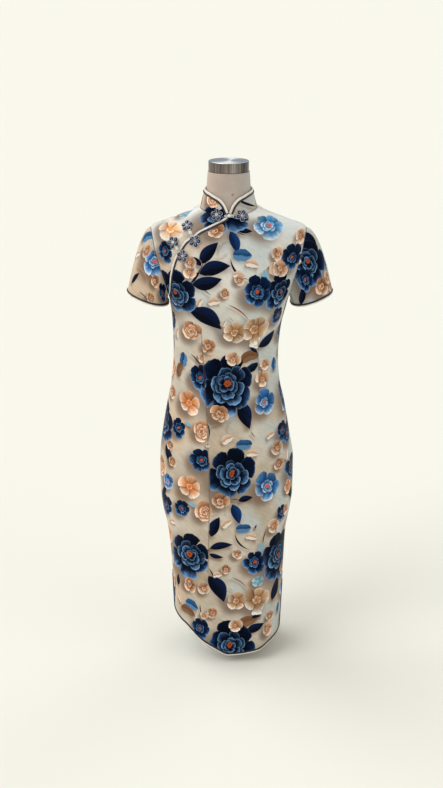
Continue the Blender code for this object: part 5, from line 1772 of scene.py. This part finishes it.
def ball_button(name, pair):
    """Knotted ball: a core wound by a closed cord that crosses itself, with two loops."""
    ends = np.array([[FROGS[frog]["across"], FROGS[frog]["height"]] for frog in pair])
    middle, skin = ends.mean(axis=0), KNOT_R * KNOT_CORE
    turn = whole_turn(220)
    tilt, around = KNOT_TILT * np.sin(KNOT_WAVES * turn), KNOT_LAPS * turn
    wound = skin * np.stack([np.cos(tilt) * np.cos(around), np.cos(tilt) * np.sin(around),
                             np.sin(tilt)], axis=1)
    core_turn = np.linspace(0.15, np.pi - 0.15, 9)
    core = spun(np.stack([np.sin(core_turn), -np.cos(core_turn)], axis=1) * skin, 18)
    parts = [(0, core), (0, cord_along(wound, KNOT_CORD_R, True))]
    share = np.linspace(0.0, 1.0, 16)[:, None]
    for end in ends - middle:
        way = unit(end)
        square = np.array([-way[1], way[0]])
        for side in (-1, 1):
            bow = side * (LOOP_HALF_GAP + LOOP_BOW * np.sin(np.pi * share))
            flat = way * (LOOP_FROM + share * LOOP_LONG) + square * bow
            strand = np.concatenate([flat, -LOOP_DROP - LOOP_FALL * share], axis=1)
            parts.append((0, cord_along(strand, KNOT_CORD_R, False)))
    return set_down("button_" + name, parts, seat_on_front(*middle, KNOT_STAND_OFF),
                    [SILVER], "frog_knot", name)


FROG_NAVY = plain_satin("frog_navy", (16, 36, 74), (7, 15, 36), 0.24)
FROG_CORD = plain_satin("frog_cord", (226, 226, 230), (150, 154, 166), 0.28)
for name, row in FROGS.items():
    rosette(name, **row)
for name, pair in KNOTS.items():
    ball_button(name, pair)

# %% [markdown]
# ## The form and its stand
# The form is a padded torso under a close linen cover, with a brushed steel cap on the
# neck. Only the neck and the underside show. It is the figure's own surface, some
# millimetres inside the dress, and its neck is a stack of rounds that the same curve
# smooths.

# %% Form
FORM_TURNS = 128
CAP_R, CAP_LOW, CAP_HIGH, CAP_ROLL = 0.0480, 1.2585, 1.2830, 0.0022
CAP_SEAT_R, CAP_DISH = 0.004, 0.0007
NECK_SEAM_Z, NECK_SEAM_DEEP, NECK_SEAM_WIDE = 1.2535, 0.0004, 0.0008
NECK_TURN_R, LINEN_PITCH = 0.052, 0.0011


def form_grid():
    """Rows of the torso up to the neck seam, then rounds up to the cap."""
    angle = whole_turn(FORM_TURNS)[None, :]
    station = np.linspace(FORM_FLAT, NECKLINE, 120)[:, None]
    torso = body(angle, station, -FORM_GAP)
    known = column(NECK, "height")
    height = np.linspace(known[0], known[-1], 34)
    seam = NECK_SEAM_DEEP * np.exp(-((height - NECK_SEAM_Z) / NECK_SEAM_WIDE) ** 2)
    radius = smooth(height, known, column(NECK, "radius"))
    radius = (radius - seam)[:, None]
    neck = np.stack([radius * np.cos(angle), NECK_AXIS_Y + radius * np.sin(angle),
                     height[:, None] + 0 * angle], axis=-1)
    return np.concatenate([torso, neck])


def linen():
    """Close linen cover: crossed threads with slubs, greige, a little uneven, and painted light.
    """
    made, s, shader = new_material("form_linen", 0.85)
    where = s.place("object")
    x, y, z = s.parts(where)
    around = s.do("ARCTAN2", y, x) * NECK_TURN_R
    warp, weft = [s.do("SINE", way * (2 * np.pi / LINEN_PITCH)) for way in (around, z)]
    slub = s.noise(s.vector(around * 60.0, z * 900.0, 0.0), 1.0, 3.0)
    patch = s.step(s.noise(where, 30.0, 3.0), 0.3, 0.7)
    tone = s.washed(s.blend(patch, linear(184, 168, 156), linear(172, 158, 148)),
                    # Painted light: cooler grey towards +x and warmer towards -x, as the colour of
                    # the light on each side of the neck
                    (s.step(x, -0.01, 0.05), 0.7, (176, 172, 166)),
                    (s.step(x, -0.01, -0.05), 0.5, (190, 164, 148)),
                    (s.step(slub, 0.50, 0.72), 0.35, (204, 190, 178)))
    fill(shader, Base_Color=tone, Sheen_Weight=0.2,
         Normal=s.bump(warp * weft + slub * 1.5, 0.30, 0.00025))
    return made


def steel_with_painted_reflections(name, roughness, paleness=0.0):
    """Brushed steel with painted reflections: broad bands as of a room's reflections, upright
    streaks and a highlight across the cap's lid, with a fine upright grain in its roughness and
    bump.

    A share of paleness turns it to a light satin finish.
    """
    made, s, shader = new_material(name, roughness, 1.0)
    x, y, z = s.parts(s.place("object"))
    around = s.do("ARCTAN2", y, x)
    facing = around + np.pi / 2
    reflection_streaks = s.noise(s.vector(around * 34.0, z * 6.0, 0.0), 1.0, 5.0)
    fine = s.noise(s.vector(around * 160.0, z * 12.0, 3.0), 1.0, 3.0)
    # Painted reflections: light and dark bands by the way the steel faces round its upright axis,
    # and upright streaks, as of a room reflected in it
    tone = s.washed(linear(118, 108, 102),
                    (s.step(facing, -0.06, 0.08) * s.step(facing, 0.34, 0.16), 0.45,
                     (186, 184, 180)),
                    (s.step(facing, 0.42, 0.62) * s.step(facing, 1.22, 1.02), 0.85,
                     (58, 58, 66)),
                    (s.step(facing, 1.16, 1.40), 0.70, (170, 176, 188)),
                    (s.step(reflection_streaks, 0.50, 0.70), 0.55, (186, 174, 166)),
                    (s.step(reflection_streaks, 0.48, 0.32), 0.60, (62, 60, 62)))
    # Painted highlight and reflection on the cap's lid: white in a wedge facing front and back,
    # blue-grey elsewhere; in the wedge the steel is made less metallic so that the white shows
    # bright
    lid = s.step(z, CAP_HIGH - 0.0018, CAP_HIGH - 0.0010)
    highlight_wedge = abs(s.do("SINE", around + 0.16)) ** 6.0
    painted_lid_reflection = s.blend(highlight_wedge, linear(146, 162, 182), linear(250, 252, 253))
    tone = s.blend(lid * 0.90, tone, painted_lid_reflection)
    fill(shader, Base_Color=s.blend(paleness, tone, linear(234, 232, 226)),
         Metallic=1.0 - highlight_wedge * lid * 0.7, Roughness=(roughness - 0.06) + fine * 0.16,
         Normal=s.bump(fine, 0.12, 0.0002))
    return made


LINEN = linen()
form_points, form_quads, form_fans = closed_stack(form_grid())
mesh = mesh_from("form_body", form_points + FIGURE_AT, form_quads, form_fans)
mesh.polygons.foreach_set("use_smooth", np.arange(len(mesh.polygons)) < len(form_quads))
form_body = add_piece("form_body", mesh, LINEN, "form_linen", "form_torso")

# %% Stud on the neck
stud = spun(np.array([[0.0008, -0.0010], [0.0026, -0.0010], [0.0027, 0.0002],
                      [0.0020, 0.0008], [0.0005, 0.0010]]), 20)
STUD_AT = np.array([0.0087, -0.0520, 1.2110])
stud_out = np.array([0.16, -0.98, 0.10])
stud_across = np.cross([0.0, 0.0, 1.0], stud_out)
stud_up = np.cross(stud_out, stud_across)
set_down("form_stud", [(0, stud)],
         (STUD_AT + [0.0, NECK_AXIS_Y, 0.0], stud_out, stud_across, stud_up),
         [steel_with_painted_reflections("stud_steel", 0.42)], "cap_steel", None)

# %% [markdown]
# The cap is spun from a profile: a band with softly rolled edges and a slightly dished
# top. The pole and base keep the solids' own shape and take a paler, satin finish.

# %% Cap, pole and base
def cap_profile():
    """Radius and height of the cap: lower roll, band, upper roll, and dished top."""
    turn = np.linspace(0.0, np.pi / 2, 7)
    low = np.stack([CAP_R - CAP_ROLL / 2 + CAP_ROLL / 2 * np.sin(turn),
                    CAP_LOW + CAP_ROLL / 2 - CAP_ROLL / 2 * np.cos(turn)], axis=1)
    high = np.stack([CAP_R - CAP_ROLL + CAP_ROLL * np.cos(turn),
                     CAP_HIGH - CAP_ROLL + CAP_ROLL * np.sin(turn)], axis=1)
    across = np.linspace(0.93, 0.06, 10)
    dish = np.stack([CAP_R * across, CAP_HIGH - CAP_DISH * (1 - across ** 2)], axis=1)
    return np.concatenate([[[CAP_SEAT_R, CAP_LOW]], low, high, dish])


STEEL = steel_with_painted_reflections("cap_steel", 0.30)
cap_points, cap_quads, cap_fans = spun(cap_profile(), 96)
cap_points = cap_points + FIGURE_AT + [0.0, NECK_AXIS_Y, 0.0]
mesh = mesh_from("neck_cap_turned", cap_points, cap_quads, cap_fans)
add_piece("neck_cap_turned", mesh, STEEL, "cap_steel", "neck_cap")
STAND_STEEL = steel_with_painted_reflections("stand_steel", 0.36, 0.85)
for name in ("pole", "base"):
    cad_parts[name].material_slots[0].material = STAND_STEEL

# %% [markdown]
# ## What the cloth was cut from
# Each sheet's flat size is its pattern piece's own: the width and length of cloth that it
# was cut from, and the area inside its outline. All of them hang from the form.

# %% Sheets
SHEETS = {                # width, length, area, piece, trims
    "front": (0.495, 1.250, 0.470, dress_front, ("binding_front_hem", "binding_placket")),
    "back": (0.495, 1.255, 0.490, dress_back, ("binding_back_hem",)),
    "underlap": (0.260, 0.345, 0.0295, dress_underlap, ()),
    "sleeve_left": (0.467, 0.190, 0.0420, sleeves["sleeve_left"], ("binding_sleeve_left",)),
    "sleeve_right": (0.468, 0.186, 0.0400, sleeves["sleeve_right"], ("binding_sleeve_right",)),
    "collar": (0.425, 0.052, 0.0185, dress_collar, ("binding_collar",)),
}
for name, (width, length, area, piece, trims) in SHEETS.items():
    print(name, "cut from", width, "x", length, "m")

# %% [markdown]
# ## Stage, light and camera
# The floor is plain and pale, and wide enough to be all the background from the camera. A
# large soft light ahead and above at the left lights the bright shoulder, which the satin's
# ground also paints paler as a painted highlight; a weak second fills the other side, and two
# from behind lift the edges. They are far away, so the floor is evenly lit. The camera stands
# back and looks down a little.

# %% Stage
def plain_floor():
    """Wide pale floor."""
    mesh, half = bpy.data.meshes.new("floor"), FLOOR_HALF
    mesh.from_pydata([(-half, -half, 0), (half, -half, 0), (half, half, 0), (-half, half, 0)],
                     [], [(0, 1, 2, 3)])
    floor = bpy.data.objects.new("floor", mesh)
    bpy.context.scene.collection.objects.link(floor)
    made, s, shader = new_material("pale_floor", 0.85)
    patch = s.noise(s.place("object"), 3.0, 2.0)
    fill(shader, Base_Color=s.washed(linear(233, 231, 222), (patch, 0.04, (222, 218, 208))),
         Specular_IOR_Level=0.0)
    mesh.materials.append(made)


def soft_light(name, from_left, height, strength, spread, colour):
    """Large soft lamp, far away: degrees round from the front to the left, and above level."""
    lamp = bpy.data.lights.new(name, "SUN")
    lamp.energy, lamp.angle, lamp.color = strength, np.radians(spread), colour
    light = bpy.data.objects.new(name, lamp)
    left, up = np.radians(from_left), np.radians(height)
    toward = Vector((np.sin(left) * np.cos(up), np.cos(left) * np.cos(up), -np.sin(up)))
    light.rotation_euler = toward.to_track_quat("-Z", "Y").to_euler()
    bpy.context.scene.collection.objects.link(light)


FLOOR_HALF = 90.0
plain_floor()
LIGHTS = table(
    "from_left height strength spread colour",
    key_left=(56.0, 46.0, 1.15, 36.0, (0.97, 0.99, 1.0)),
    fill_right=(-58.0, 24.0, 0.30, 44.0, (1.0, 0.99, 0.96)),
    back_left=(118.0, 50.0, 1.10, 44.0, (0.94, 0.98, 1.0)),
    back_right=(-140.0, 34.0, 0.30, 30.0, (1.0, 0.97, 0.93)))
for name, row in LIGHTS.items():
    soft_light(name, **row)
world = bpy.data.worlds.new("studio")
world.use_nodes = True
sky = world.node_tree.nodes["Background"]
sky.inputs["Color"].default_value = linear(250, 249, 244)
sky.inputs["Strength"].default_value = 0.60
bpy.context.scene.world = world
bpy.context.scene.view_settings.view_transform = "Standard"

# %% Camera
CAMERA_AT = (-0.0205, -2.9682, 1.718)
LOOK_DOWN = np.radians(18.95)
LENS_PIXELS, FRAME_HEIGHT, SENSOR = 1250.0, 788.0, 24.0
lens = bpy.data.cameras.new("camera")
lens.sensor_fit = "VERTICAL"
lens.sensor_height = SENSOR
lens.lens = LENS_PIXELS * SENSOR / FRAME_HEIGHT
camera = bpy.data.objects.new("camera", lens)
camera.location = CAMERA_AT
camera.rotation_euler = (np.pi / 2 - LOOK_DOWN, 0.0, 0.0)
bpy.context.scene.collection.objects.link(camera)
bpy.context.scene.camera = camera
print("camera lens", round(lens.lens, 2), "mm")
